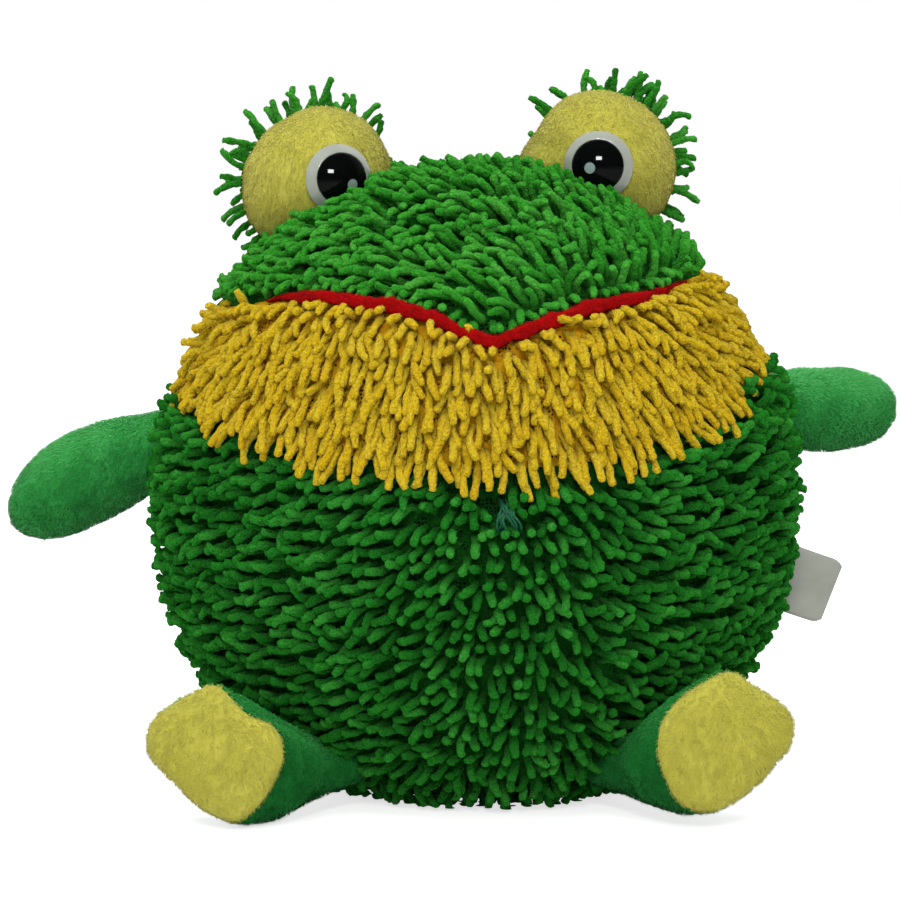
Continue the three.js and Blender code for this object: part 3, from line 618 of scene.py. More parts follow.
def on_floor(points):
    """Lifts the points that would go into the floor."""
    points[:, 2] = np.maximum(points[:, 2], FLOOR_CLEARANCE)
    return points


def quads(rows, sides, wrap=True):
    """Faces between rings of points that are counted one ring after another."""
    faces = []
    for row in range(rows - 1):
        for k in range(sides if wrap else sides - 1):
            a, b = row * sides + k, row * sides + (k + 1) % sides
            faces.append((a, b, b + sides, a + sides))
    return faces


def full_turns(sides):
    """Angles of evenly spaced points on a ring."""
    return 2 * math.pi * np.arange(sides) / sides


def ring(middle, across, over, turns, reach):
    """Points round a middle, at the given turns from one axis toward the other."""
    return middle + reach * (np.cos(turns)[:, None] * across + np.sin(turns)[:, None] * over)


def loft(name, rings, start_tip=None, end_tip=None):
    """A skin over rings of points, closed by a fan at each tip that is given."""
    rings = [np.asarray(points) for points in rings]
    sides = len(rings[0])
    vertices = list(np.vstack(rings))
    faces = quads(len(rings), sides)
    for tip, row, flip in ((start_tip, 0, True), (end_tip, len(rings) - 1, False)):
        if tip is None:
            continue
        vertices.append(tip)
        for k in range(sides):
            a, b = row * sides + k, row * sides + (k + 1) % sides
            faces.append((b, a, len(vertices) - 1) if flip else (a, b, len(vertices) - 1))
    return tidy_faces(new_object(name, vertices, faces))


def ripple(points, scale, seed):
    """Soft noise from -1 to 1 at each point; scale is the size of its lumps."""
    offset = Vector((seed * 7.31, seed * 3.17, seed * 1.93))
    return np.array([noise.noise(Vector(p) / scale + offset) for p in points])


def lumpiness(points, *layers):
    """Soft noise in layers, each with the size of its lumps, its seed and its height."""
    return sum(ripple(points, size, seed) * height for size, seed, height in layers)


# Shader nodes

def add(tree, kind, **settings):
    """A new node with its settings."""
    made = tree.nodes.new(kind)
    for key, value in settings.items():
        setattr(made, key, value)
    return made


def scaled_noise(tree, place, scale, detail=3.0):
    made = add(tree, "ShaderNodeTexNoise")
    made.inputs["Scale"].default_value = scale
    made.inputs["Detail"].default_value = detail
    made.inputs["Roughness"].default_value = 0.55
    tree.links.new(place, made.inputs["Vector"])
    return made.outputs["Fac"]


def cells(tree, place, scale, randomness):
    """How far each place lies from the middle of its cell."""
    made = add(tree, "ShaderNodeTexVoronoi", feature="F1")
    made.inputs["Scale"].default_value = scale
    made.inputs["Randomness"].default_value = randomness
    tree.links.new(place, made.inputs["Vector"])
    return made.outputs["Distance"]


def ramp(tree, factor, stops):
    """Colours by a factor, from stops of its value and the colour there."""
    made = add(tree, "ShaderNodeValToRGB")
    elements = made.color_ramp.elements
    while len(elements) < len(stops):
        elements.new(0.5)
    for element, (place, colour) in zip(elements, stops):
        element.position = place
        element.color = (*colour, 1)
    tree.links.new(factor, made.inputs["Fac"])
    return made.outputs["Color"]


def math_node(tree, operation, a, b):
    """Sum, product and the like of two values, each a number or a node's output."""
    made = add(tree, "ShaderNodeMath", operation=operation)
    for socket, value in zip(made.inputs, (a, b)):
        if isinstance(value, (int, float)):
            socket.default_value = value
        else:
            tree.links.new(value, socket)
    return made.outputs["Value"]


def blended(tree, *parts):
    """The sum of values, each multiplied by its share."""
    total = None
    for value, share in parts:
        part = math_node(tree, "MULTIPLY", value, share)
        total = part if total is None else math_node(tree, "ADD", total, part)
    return total


def mixed(tree, factor, a, b, blend="MIX"):
    """Two colours mixed by a factor."""
    made = add(tree, "ShaderNodeMix", data_type="RGBA", blend_type=blend)
    sockets = [s for s in made.inputs if s.enabled]
    for socket, value in zip(sockets, (factor, a, b)):
        if isinstance(value, (int, float)):
            socket.default_value = value
        elif isinstance(value, tuple):
            socket.default_value = (*value, 1)
        else:
            tree.links.new(value, socket)
    return [s for s in made.outputs if s.enabled][0]


def bump(tree, height, strength, distance, under=None):
    """Relief from a height, on top of the relief under it."""
    made = add(tree, "ShaderNodeBump")
    made.inputs["Strength"].default_value = strength
    made.inputs["Distance"].default_value = distance
    tree.links.new(height, made.inputs["Height"])
    if under is not None:
        tree.links.new(under, made.inputs["Normal"])
    return made.outputs["Normal"]


def linear(red, green, blue):
    """A colour written in sRGB from 0 to 255, as the shader wants it."""
    made = []
    for value in (red / 255, green / 255, blue / 255):
        made.append(value / 12.92 if value <= 0.04045 else ((value + 0.055) / 1.055) ** 2.4)
    return tuple(made)


def new_material(name):
    material = bpy.data.materials.new(name)
    material.use_nodes = True
    return material, material.node_tree


def finished(material, colour, relief=None, roughness=0.5, specular=None, sheen=None, coat=None):
    """Joins colour and relief to a material and sets its shine.

    The sheen is given as weight, roughness and colour, the coat as weight and roughness.
    """
    tree = material.node_tree
    shader = tree.nodes["Principled BSDF"]
    tree.links.new(colour, shader.inputs["Base Color"])
    if relief is not None:
        tree.links.new(relief, shader.inputs["Normal"])
    values = {"Roughness": roughness}
    if specular is not None:
        values["Specular IOR Level"] = specular
    if sheen is not None:
        values["Sheen Weight"], values["Sheen Roughness"] = sheen[:2]
        values["Sheen Tint"] = (*sheen[2], 1)
    if coat is not None:
        values["Coat Weight"], values["Coat Roughness"] = coat
    for socket, value in values.items():
        shader.inputs[socket].default_value = value
    return material


def grey(level):
    return (level, level, level)


def object_place(tree):
    return add(tree, "ShaderNodeTexCoord").outputs["Object"]


def attribute_value(tree, name):
    return add(tree, "ShaderNodeAttribute", attribute_name=name).outputs["Fac"]


def chenille_material(name, colours, root_shade):
    """Twisted, fuzzy noodle yarn, with painted shade toward its roots and in the grooves between its
    knobs.
    """
    material, tree = new_material(name)
    deep, body, light, sheen = (linear(*colour) for colour in colours)
    place = object_place(tree)
    fibres = scaled_noise(tree, place, 2300, 2.0)
    patches = scaled_noise(tree, place, 45, 2.0)
    between = cells(tree, place, 980, 0.9)
    blend = blended(tree, (fibres, 0.55), (attribute_value(tree, "tint"), 0.42), (patches, 0.3))
    colour = ramp(tree, blend, [(0.3, deep), (0.62, body), (0.95, light)])
    # Painted shade: each noodle is darker toward its root and lightest at its tip
    shade = ramp(tree, attribute_value(tree, "along"), [
        (0.0, grey(root_shade)), (0.45, grey(0.4 + 0.5 * root_shade)), (0.8, grey(0.9)),
        (1.0, grey(1.0))])
    # Painted shade in the grooves between the yarn's knobs
    groove_shade = ramp(tree, between, [(0.3, grey(1.0)), (0.8, grey(0.85))])
    shade = mixed(tree, 1.0, shade, groove_shade, "MULTIPLY")
    relief = bump(tree, math_node(tree, "SUBTRACT", 1.0, between), 1.0, 0.7 * MM)
    relief = bump(tree, fibres, 0.9, 0.5 * MM, relief)
    return finished(
        material, mixed(tree, 1.0, colour, shade, "MULTIPLY"), relief,
        roughness=0.92, specular=0.04, sheen=(0.45, 0.45, sheen))


def knit_material(name, colours):
    """Open warp knit that the noodles are looped through, with clusters of small dark holes."""
    material, tree = new_material(name)
    body, light, hole = (linear(*colour) for colour in colours)
    place = object_place(tree)
    near_hole = math_node(tree, "LESS_THAN", cells(tree, place, 950, 0.45), 0.36)
    in_cluster = math_node(tree, "LESS_THAN", cells(tree, place, 165, 0.7), 0.45)
    dark = math_node(tree, "MULTIPLY", near_hole, in_cluster)
    fibres = scaled_noise(tree, place, 1500)
    colour = ramp(tree, fibres, [(0.3, body), (0.75, light)])
    height = math_node(tree, "SUBTRACT", fibres, math_node(tree, "MULTIPLY", dark, 1.2))
    return finished(
        material, mixed(tree, dark, colour, hole), bump(tree, height, 0.8, 0.7 * MM),
        roughness=0.95, specular=0.03)


def plush_material(name, colours, streak=(1.0, 1.0, 1.0)):
    """Short brushed pile: soft patches where it was stroked, fine fibres over them."""
    material, tree = new_material(name)
    deep, body, light, sheen = (linear(*colour) for colour in colours)
    place = object_place(tree)
    stretch = add(tree, "ShaderNodeMapping")
    stretch.inputs["Scale"].default_value = streak
    tree.links.new(place, stretch.inputs["Vector"])
    strokes = scaled_noise(tree, stretch.outputs["Vector"], 130, 4.0)
    patches = scaled_noise(tree, place, 38, 2.0)
    fibres = scaled_noise(tree, place, 2400, 2.0)
    blend = blended(tree, (strokes, 0.45), (patches, 0.3), (fibres, 0.3))
    relief = bump(tree, strokes, 0.5, 1.2 * MM)
    relief = bump(tree, fibres, 0.75, 0.45 * MM, relief)
    return finished(
        material, ramp(tree, blend, [(0.36, deep), (0.53, body), (0.72, light)]), relief,
        roughness=0.85, specular=0.08, sheen=(0.55, 0.4, sheen))


def fibre_material(name, colours):
    """Fine brushed fibres, with painted shade toward the cloth and painted top light from the way each
    fibre faces.
    """
    material, tree = new_material(name)
    deep, body, light, sheen = (linear(*colour) for colour in colours)
    place = object_place(tree)
    patches = scaled_noise(tree, place, 60)
    fine = scaled_noise(tree, place, 900, 2.0)
    blend = blended(tree, (patches, 0.22), (attribute_value(tree, "tint"), 0.72), (fine, 0.1))
    colour = ramp(tree, blend, [(0.28, deep), (0.52, body), (0.8, light)])
    # Painted shade: fibres are darker toward the cloth
    shade = ramp(tree, attribute_value(tree, "along"), [(0.0, grey(0.82)), (0.8, grey(1.0))])
    return finished(
        material, mixed(tree, 1.0, colour, shade, "MULTIPLY"), bump(tree, fine, 0.3, 0.1 * MM),
        roughness=0.8, specular=0.08, sheen=(0.6, 0.4, sheen))


def felt_material(name, dark, light):
    """Matted felt, with a fine grain and larger clouds in it."""
    material, tree = new_material(name)
    place = object_place(tree)
    fibres = scaled_noise(tree, place, 1300, 4.0)
    patches = scaled_noise(tree, place, 190, 2.0)
    blend = blended(tree, (fibres, 0.6), (patches, 0.4))
    colour = ramp(tree, blend, [(0.3, linear(*dark)), (0.7, linear(*light))])
    return finished(material, colour, bump(tree, blend, 0.9, 0.9 * MM), roughness=1.0, specular=0.03)


def satin_material(name, dark, light):
    """Woven ribbon with fine level threads."""
    material, tree = new_material(name)
    place = object_place(tree)
    wave = add(tree, "ShaderNodeTexWave", wave_type="BANDS", bands_direction="Z")
    wave.inputs["Scale"].default_value = 900
    wave.inputs["Distortion"].default_value = 1.5
    tree.links.new(place, wave.inputs["Vector"])
    threads = wave.outputs["Fac"]
    blend = blended(tree, (threads, 0.25), (scaled_noise(tree, place, 120, 2.0), 0.6))
    colour = ramp(tree, blend, [(0.2, linear(*dark)), (0.8, linear(*light))])
    return finished(
        material, colour, bump(tree, threads, 0.3, 0.1 * MM),
        roughness=0.42, sheen=(0.15, 0.5, (1.0, 1.0, 1.0)))


def clouded_material(name, dark, light, scale, detail, relief=None, **shine):
    """One colour that varies a little; relief is the strength and depth of its bumps."""
    material, tree = new_material(name)
    clouds = scaled_noise(tree, object_place(tree), scale, detail)
    colour = ramp(tree, clouds, [(0.3, linear(*dark)), (0.7, linear(*light))])
    relief = bump(tree, clouds, *relief) if relief else None
    return finished(material, colour, relief, **shine)


def pupil_material(name, dot):
    """Glossy black, with one pale dot printed on it."""
    material, tree = new_material(name)
    place = object_place(tree)
    centre = add(tree, "ShaderNodeMapping")
    centre.inputs["Location"].default_value = [-value for value in dot]
    tree.links.new(place, centre.inputs["Vector"])
    reach = add(tree, "ShaderNodeVectorMath", operation="LENGTH")
    tree.links.new(centre.outputs["Vector"], reach.inputs[0])
    from_dot = math_node(tree, "DIVIDE", reach.outputs["Value"], DOT_RADIUS)
    colour = ramp(tree, from_dot, [(0.9, linear(128, 148, 146)), (1.0, linear(4, 6, 5))])
    specks = math_node(tree, "MULTIPLY", scaled_noise(tree, place, 700, 2.0), 0.0012)
    return finished(
        material, mixed(tree, specks, colour, (1.0, 1.0, 1.0)), roughness=0.05, specular=0.08)


# Chenille and its knit: colours from deep to light, the sheen's, and how bright the painted shade
# leaves the roots
CROWN_GREEN = chenille_material(
    "crown_chenille", ((32, 116, 22), (54, 154, 40), (82, 172, 62), (92, 230, 82)), 0.68)
# Belly and back: darker copies of the crown's green, as painted shade away from the light above; the
# back's lies between the two
BELLY_SHADED_GREEN = chenille_material(
    "belly_chenille", ((16, 79, 18), (31, 124, 31), (60, 155, 54), (60, 190, 58)), 0.28)
BACK_SHADED_GREEN = chenille_material(
    "back_chenille", ((16, 98, 14), (34, 146, 28), (62, 178, 50), (65, 210, 60)), 0.34)
MUZZLE_YELLOW = chenille_material(
    "muzzle_chenille", ((212, 170, 14), (220, 186, 24), (224, 194, 44), (250, 226, 110)), 1.0)
GREEN_KNIT = knit_material("green_knit", ((10, 64, 14), (28, 104, 26), (3, 18, 5)))
# Painted shade: a darker copy of the green knit, for the belly and back
SHADED_GREEN_KNIT = knit_material("dark_green_knit", ((7, 54, 10), (18, 86, 20), (3, 17, 5)))
YELLOW_KNIT = knit_material("yellow_knit", ((208, 152, 13), (232, 180, 27), (58, 32, 4)))

# Plush skins; the green ones are streaked lengthwise. The legs' is a darker copy of the arms': painted
# shade
LIMB_PLUSH = plush_material(
    "limb_plush", ((22, 110, 41), (42, 143, 61), (74, 172, 89), (132, 227, 147)), (1.0, 1.0, 0.45))
SHADED_LEG_PLUSH = plush_material(
    "leg_plush", ((4, 75, 23), (11, 108, 37), (32, 142, 60), (115, 220, 130)), (1.0, 1.0, 0.45))
SOLE_PLUSH = plush_material(
    "sole_plush", ((178, 172, 62), (190, 184, 72), (199, 193, 83), (250, 245, 180)))
EYE_PLUSH = plush_material(
    "eye_plush", ((166, 159, 54), (182, 176, 68), (202, 196, 88), (250, 245, 180)))

# Fibres on the plush and the felt; the legs' are a darker copy of the arms': painted shade
LIMB_FIBRE = fibre_material(
    "limb_fibres", ((20, 106, 38), (42, 152, 64), (106, 220, 122), (130, 225, 145)))
SHADED_LEG_FIBRE = fibre_material("leg_fibres", ((4, 75, 22), (17, 130, 46), (76, 202, 98), (70, 196, 95)))
SOLE_FIBRE = fibre_material(
    "sole_fibres", ((186, 180, 68), (199, 193, 80), (208, 203, 92), (250, 245, 180)))
EYE_FIBRE = fibre_material(
    "eye_fibres", ((166, 160, 54), (190, 184, 72), (222, 217, 110), (250, 245, 180)))
FELT_FIBRE = fibre_material("felt_fibres", ((110, 2, 5), (160, 8, 12), (186, 18, 20), (200, 40, 40)))

# Trim, safety eyes and stuffing
RED_FELT = felt_material("red_felt", (128, 2, 3), (184, 10, 11))
LABEL_SATIN = satin_material("label_satin", (150, 153, 141), (182, 184, 173))
TEAL_THREAD = clouded_material(
    "teal_thread", (4, 54, 32), (20, 104, 66), 1900, 3.0, relief=(0.5, 0.2 * MM),
    roughness=0.65, specular=0.15)
EYE_WHITE = clouded_material(
    "eye_white", (146, 151, 141), (160, 164, 153), 90, 2.0,
    roughness=0.16, specular=0.4, coat=(0.35, 0.05))
STUFFING = clouded_material(
    "fibre_stuffing", (222, 218, 208), (246, 244, 238), 300, 5.0, relief=(0.8, 1.5 * MM),
    roughness=1.0)
WASHER = clouded_material(
    "eye_washer_plastic", (206, 208, 202), (222, 224, 219), 400, 2.0, roughness=0.45)

CHENILLE = {
    "crown": CROWN_GREEN, "muzzle": MUZZLE_YELLOW, "belly": BELLY_SHADED_GREEN, "back": BACK_SHADED_GREEN}
KNIT = {"crown": GREEN_KNIT, "muzzle": YELLOW_KNIT, "belly": SHADED_GREEN_KNIT, "back": SHADED_GREEN_KNIT}


def dress(made, material, body, stands_for=()):
    """Gives a finished piece its material and its body, and hides the CAD pieces it stands for."""
    made.data.materials.clear()
    made.data.materials.append(material)
    if stands_for:
        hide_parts(*stands_for)
    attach(made, body)
    return made


# Knit cloth under the pile: one panel at a time, cut at its seams and round the limbs

SOCKETS = (
    [(ARM_ROOT[n], ARM_ROOT_RADIUS - 0.4 * MM) for n in SIDES]
    + [(LEG_START[n], LEG_ROOT_RADIUS) for n in SIDES]
    + [(POD_CENTRE[n], POD_RADIUS - 0.6 * MM) for n in SIDES])


def cloth_room(panel, points):
    """How far inside a panel each point lies, away from its seams and the limbs' roots."""
    room = panel_room(panel, points)
    for centre, radius in SOCKETS:
        room = np.minimum(room, np.linalg.norm(points - centre, axis=-1) - radius)
    return room


def cloth_panel(panel):
    """A panel of the skin: whole faces inside it, with the outer points drawn in to its edge."""
    ball = bmesh.new()
    bmesh.ops.create_icosphere(ball, subdivisions=CLOTH_FINENESS, radius=1.0)
    ball.verts.ensure_lookup_table()
    ways = unit([v.co for v in ball.verts])
    faces = np.array([[v.index for v in f.verts] for f in ball.faces])
    ball.free()
    room = cloth_room(panel, skin_point(ways))
    kept = faces[(room[faces] > 0).any(axis=1)]
    inner = np.zeros_like(ways)
    for a, b in ((0, 1), (1, 2), (2, 0), (1, 0), (2, 1), (0, 2)):
        pairs = kept[:, [a, b]]
        near = pairs[(room[pairs[:, 0]] <= 0) & (room[pairs[:, 1]] > 0)]
        np.add.at(inner, near[:, 0], ways[near[:, 1]])
    edge = np.unique(kept[room[kept] <= 0])
    edge = edge[np.linalg.norm(inner[edge], axis=1) > 0]
    outside, inside = ways[edge], unit(inner[edge])
    for _ in range(EDGE_HALVINGS):
        middle = unit(outside + inside)
        within = cloth_room(panel, skin_point(middle)) > 0
        inside = np.where(within[:, None], middle, inside)
        outside = np.where(within[:, None], outside, middle)
    ways[edge] = inside
    used = np.unique(kept)
    renumber = np.zeros(len(ways), int)
    renumber[used] = np.arange(len(used))
    made = new_object(f"{panel}_cloth", skin_point(ways[used]), renumber[kept])
    return walled(tidy_faces(made), CLOTH_THICKNESS, -1)


# Noodle forms: bent, lumpy lengths of yarn along +Z, closed at both ends

def noodle_middle_line(shares, bend, kink, sway):
    """The bent middle line of a noodle, with the way it runs at each share of its length."""
    place, line, before = np.zeros(3), [], 0.0
    for share in shares:
        tilt = bend * (share - 0.5) + kink * math.sin(2.6 * math.pi * share)
        run = unit(np.array([math.sin(tilt), sway * math.cos(math.pi * share), math.cos(tilt)]))
        place = place + run * (share - before)
        before = share
        line.append((place, run))
    return line


def keep_form(holder, made, along):
    """Files a form away for the pile, out of the scene."""
    made.data.shade_smooth()
    set_attribute(made, "along", along)
    holder.objects.link(made)
    bpy.context.scene.collection.objects.unlink(made)


def noodle_form(name, draw):
    """One noodle, and how far along it each of its points lies."""
    bend = math.radians(draw.uniform(12, 70))
    kink = math.radians(draw.uniform(-12, 12))
    line = noodle_middle_line(NOODLE_SHARES, bend, kink, draw.uniform(-0.24, 0.24))
    sides, last = NOODLE_SIDES, len(NOODLE_SHARES) - 1
    vertices, along = [], []
    for i, (share, (place, run)) in enumerate(zip(NOODLE_SHARES, line)):
        girth = 1.0 + draw.uniform(-0.15, 0.15)
        girth *= {0: 0.75, last - 1: 0.97, last: 0.78}.get(i, 1.0)
        across = unit(np.cross([0.0, 1.0, 0.0], run))
        over = np.cross(run, across)
        nudge = draw.uniform(-0.12, 0.12, 2)
        for k in range(sides):
            turn = 2 * math.pi * k / sides + 0.4 * i
            offset = (across * (girth * math.cos(turn) + nudge[0])
                      + over * (girth * math.sin(turn) + nudge[1]))
            vertices.append(place * NOODLE_LENGTH + offset * NOODLE_RADIUS)
            along.append(share)
    tip = len(vertices)
    place, run = line[-1]
    vertices.append(place * NOODLE_LENGTH + run * 0.3 * NOODLE_RADIUS)
    along.append(1.0)
    faces = [tuple(reversed(range(sides))), *quads(last + 1, sides)]
    faces += [(tip - sides + k, tip - sides + (k + 1) % sides, tip) for k in range(sides)]
    return new_object(name, vertices, faces), along


def noodle_collection():
    draw = np.random.default_rng(SEEDS["noodle_forms"])
    holder = bpy.data.collections.new("noodle_forms")
    for form in range(NOODLE_FORMS):
        keep_form(holder, *noodle_form(f"noodle_form_{form}", draw))
    return holder


NOODLE_HOLDER = noodle_collection()


# Geometry Nodes: noodles looped into a cloth at their roots

def stored(tree, name, kind):
    """A value that is stored with each root."""
    made = add(tree, "GeometryNodeInputNamedAttribute", data_type=kind)
    made.inputs["Name"].default_value = name
    return made.outputs["Attribute"]


def pile_tree():
    tree = bpy.data.node_groups.new("chenille_pile", "GeometryNodeTree")
    face = tree.interface
    face.new_socket("Roots", in_out="INPUT", socket_type="NodeSocketGeometry")
    face.new_socket("Noodle Forms", in_out="INPUT", socket_type="NodeSocketCollection")
    for label, value in (("Thickness", 1.0), ("Length", 1.0), ("Length Spread", LENGTH_SPREAD)):
        socket = face.new_socket(label, in_out="INPUT", socket_type="NodeSocketFloat")
        socket.default_value = value
    for label, value in (("Form Count", NOODLE_FORMS), ("Seed", 1)):
        socket = face.new_socket(label, in_out="INPUT", socket_type="NodeSocketInt")
        socket.default_value = value
    face.new_socket("Yarn", in_out="INPUT", socket_type="NodeSocketMaterial")
    face.new_socket("Pile", in_out="OUTPUT", socket_type="NodeSocketGeometry")
    given = add(tree, "NodeGroupInput").outputs
    forms = add(tree, "GeometryNodeCollectionInfo")
    forms.inputs["Separate Children"].default_value = True
    forms.inputs["Reset Children"].default_value = True
    tree.links.new(given["Noodle Forms"], forms.inputs["Collection"])
    axes = add(tree, "FunctionNodeAxesToRotation", primary_axis="Z", secondary_axis="X")
    tree.links.new(stored(tree, "chord", "FLOAT_VECTOR"), axes.inputs[0])
    tree.links.new(stored(tree, "curl", "FLOAT_VECTOR"), axes.inputs[1])
    spread = add(tree, "FunctionNodeRandomValue", data_type="FLOAT")
    tree.links.new(given["Seed"], spread.inputs["Seed"])
    tree.links.new(math_node(tree, "SUBTRACT", 1.0, given["Length Spread"]), spread.inputs[2])
    tree.links.new(math_node(tree, "ADD", 1.0, given["Length Spread"]), spread.inputs[3])
    length = math_node(tree, "MULTIPLY", stored(tree, "reach", "FLOAT"), given["Length"])
    length = math_node(tree, "MULTIPLY", length, spread.outputs[1])
    size = add(tree, "ShaderNodeCombineXYZ")
    tree.links.new(given["Thickness"], size.inputs["X"])
    tree.links.new(given["Thickness"], size.inputs["Y"])
    tree.links.new(length, size.inputs["Z"])
    pick = add(tree, "FunctionNodeRandomValue", data_type="INT")
    pick.inputs[4].default_value = 0
    tree.links.new(math_node(tree, "SUBTRACT", given["Form Count"], 1), pick.inputs[5])
    tree.links.new(given["Seed"], pick.inputs["Seed"])
    put = add(tree, "GeometryNodeInstanceOnPoints")
    put.inputs["Pick Instance"].default_value = True
    tree.links.new(given["Roots"], put.inputs["Points"])
    tree.links.new(forms.outputs["Instances"], put.inputs["Instance"])
    tree.links.new(pick.outputs[2], put.inputs["Instance Index"])
    tree.links.new(axes.outputs["Rotation"], put.inputs["Rotation"])
    tree.links.new(size.outputs["Vector"], put.inputs["Scale"])
    real = add(tree, "GeometryNodeRealizeInstances")
    tree.links.new(put.outputs["Instances"], real.inputs["Geometry"])
    finish = add(tree, "GeometryNodeSetMaterial")
    tree.links.new(real.outputs["Geometry"], finish.inputs["Geometry"])
    tree.links.new(given["Yarn"], finish.inputs["Material"])
    out = add(tree, "NodeGroupOutput")
    tree.links.new(finish.outputs["Geometry"], out.inputs["Pile"])
    return tree


PILE_TREE = pile_tree()


def grow_pile(name, roots, chords, curls, reaches, tints, material, length, seed, thickness=1.0,
              forms=(NOODLE_HOLDER, NOODLE_LENGTH)):
    """Noodles or fibres at the given roots, as one plain mesh."""
    holder, form_length = forms
    made = new_object(name, roots, [])
    for label, values in (("chord", chords), ("curl", curls), ("reach", reaches), ("tint", tints)):
        set_attribute(made, label, values)
    grown = made.modifiers.new("pile", "NODES")
    grown.node_group = PILE_TREE
    values = {
        "Noodle Forms": holder, "Thickness": thickness, "Length": length / form_length,
        "Length Spread": LENGTH_SPREAD, "Form Count": len(holder.objects), "Seed": seed,
        "Yarn": material,
    }
    for item in PILE_TREE.interface.items_tree:
        if item.in_out == "INPUT" and item.name in values:
            grown[item.identifier] = values[item.name]
    baked(made)
    move_points(made, on_floor(points_of(made)))
    made.data.shade_smooth()
    return made


# Brushed plush: short fibres over a piece's own skin

def fibre_form(name, draw):
    """One bent fibre that runs to a point, and how far along it each of its points lies."""
    bend = draw.uniform(0.15, 0.4)
    rows = [(0.0, 1.0, 0.0), (0.5, 0.85, -bend * 0.5)]
    vertices = []
    for share, girth, shift in rows:
        for turn in full_turns(3):
            vertices.append((
                shift * FIBRE_LENGTH + girth * FIBRE_RADIUS * math.cos(turn),
                girth * FIBRE_RADIUS * math.sin(turn), share * FIBRE_LENGTH))
    vertices.append((0.0, 0.0, FIBRE_LENGTH))
    faces = [(2, 1, 0)]
    for k in range(3):
        after = (k + 1) % 3
        faces += [(k, after, after + 3, k + 3), (k + 3, after + 3, 6)]
    return new_object(name, vertices, faces), [0, 0, 0, 0.5, 0.5, 0.5, 1]


def fibre_collection():
    draw = np.random.default_rng(SEEDS["fibre_forms"])
    holder = bpy.data.collections.new("fibre_forms")
    for form in range(FIBRE_FORMS):
        keep_form(holder, *fibre_form(f"fibre_form_{form}", draw))
    return holder


FIBRE_HOLDER = fibre_collection()


def scattered(skin, density, draw):
    """Places strewn evenly over a mesh, and the way it faces at each."""
    mesh = skin.data
    mesh.calc_loop_triangles()
    corners = np.zeros(len(mesh.loop_triangles) * 3, np.int32)
    mesh.loop_triangles.foreach_get("vertices", corners)
    corners = points_of(skin)[corners.reshape(-1, 3)]
    cross = np.cross(corners[:, 1] - corners[:, 0], corners[:, 2] - corners[:, 0])
    areas = np.linalg.norm(cross, axis=1) / 2
    count = int(density * areas.sum() / MM ** 2)
    picked = draw.choice(len(areas), count, p=areas / areas.sum())
    a, b = draw.uniform(0, 1, (2, count, 1))
    over = (a + b) > 1
    a, b = np.where(over, 1 - a, a), np.where(over, 1 - b, b)
    places = corners[picked, 0] * (1 - a - b) + corners[picked, 1] * a + corners[picked, 2] * b
    return places, unit(cross[picked])


def one_way(way):
    """A comb that brushes every place the same way."""
    return lambda places: np.broadcast_to(way, places.shape)


def brushed(skin, density, length, comb, material, body, seed, keep=None, ruffle=0.9):
    """Covers a piece in short fibres; comb gives the way they are brushed at each point."""
    draw = np.random.default_rng(seed)
    roots, normal = scattered(skin, density, draw)
    if keep is not None:
        kept = keep(roots, normal)
        roots, normal = roots[kept], normal[kept]
    count = len(roots)
    stroke = np.stack([ripple(roots, STROKE_SIZE, seed + k) for k in range(3)], axis=-1)
    way = comb(roots) + ruffle * stroke + 0.22 * draw.normal(0, 1, roots.shape)
    lift = FIBRE_LIFT + draw.normal(0, FIBRE_LIFT_SPREAD, count)
    lift = np.radians(np.clip(lift, *FIBRE_LIFT_RANGE))
    chord = swept(way, normal, lift)
    curl = unit(component(normal, chord) * chord - normal)
    # Painted light: fibres that face up are lighter and those that face down darker, as if lit from
    # above, with a little random tone
    tints = 0.2 * draw.uniform(0, 1, count) + 0.8 * np.clip(0.38 + 0.6 * normal[:, 2], 0, 1)
    feet = roots - normal * FIBRE_ROOTING
    made = grow_pile(
        skin.name + "_pile", feet, chord, curl, np.ones(count), tints, material, length, seed,
        forms=(FIBRE_HOLDER, FIBRE_LENGTH))
    return dress(made, material, body)


# Roots in rows, and the way each noodle was combed

def level_rows(row_gap, column_gap, draw):
    """Rows round the body at even heights along its skin."""
    roots = []
    steps = round(math.pi * CROWN_RISE / row_gap)
    for row in range(1, steps):
        elevation = 90 - 180 * row / steps
        girth = 2 * math.pi * HALF_WIDTH * math.cos(math.radians(elevation))
        columns = max(round(girth / column_gap), 3)
        azimuth = 360 * (np.arange(columns) + 0.5 * (row % 2)) / columns
        azimuth = azimuth + draw.normal(0, 0.16 * 360 / columns, columns)
        tilt = elevation + draw.normal(0, 0.09 * 180 / steps, columns)
        roots.append(way_at(azimuth, tilt))
    return skin_point(from_toy_way(np.vstack(roots)))


def crosswise_rows(row_gap, column_gap, draw):
    """Rows from side to side over the head, from the mouth back."""
    roots = []
    steps = round(math.pi * HALF_DEPTH / row_gap)
    for row in range(steps):
        climb = 180 * row / steps
        columns = round(math.pi * HALF_WIDTH / column_gap)
        swing = -88 + 176 * (np.arange(columns) + 0.5 * (row % 2)) / columns
        swing = np.radians(swing + draw.normal(0, 0.16 * 176 / columns, columns))
        turn = np.radians(climb + draw.normal(0, 0.09 * 180 / steps, columns))
        roots.append(np.stack([
            np.sin(swing), -np.cos(swing) * np.cos(turn), np.cos(swing) * np.sin(turn)], axis=-1))
    return skin_point(from_toy_way(np.vstack(roots)))


def thinned(roots, least):
    """Drops each root that lies too near one that is kept."""
    kept = []
    for root in roots:
        if not kept or np.min(np.linalg.norm(np.array(kept) - root, axis=1)) > least:
            kept.append(root)
    return np.array(kept)


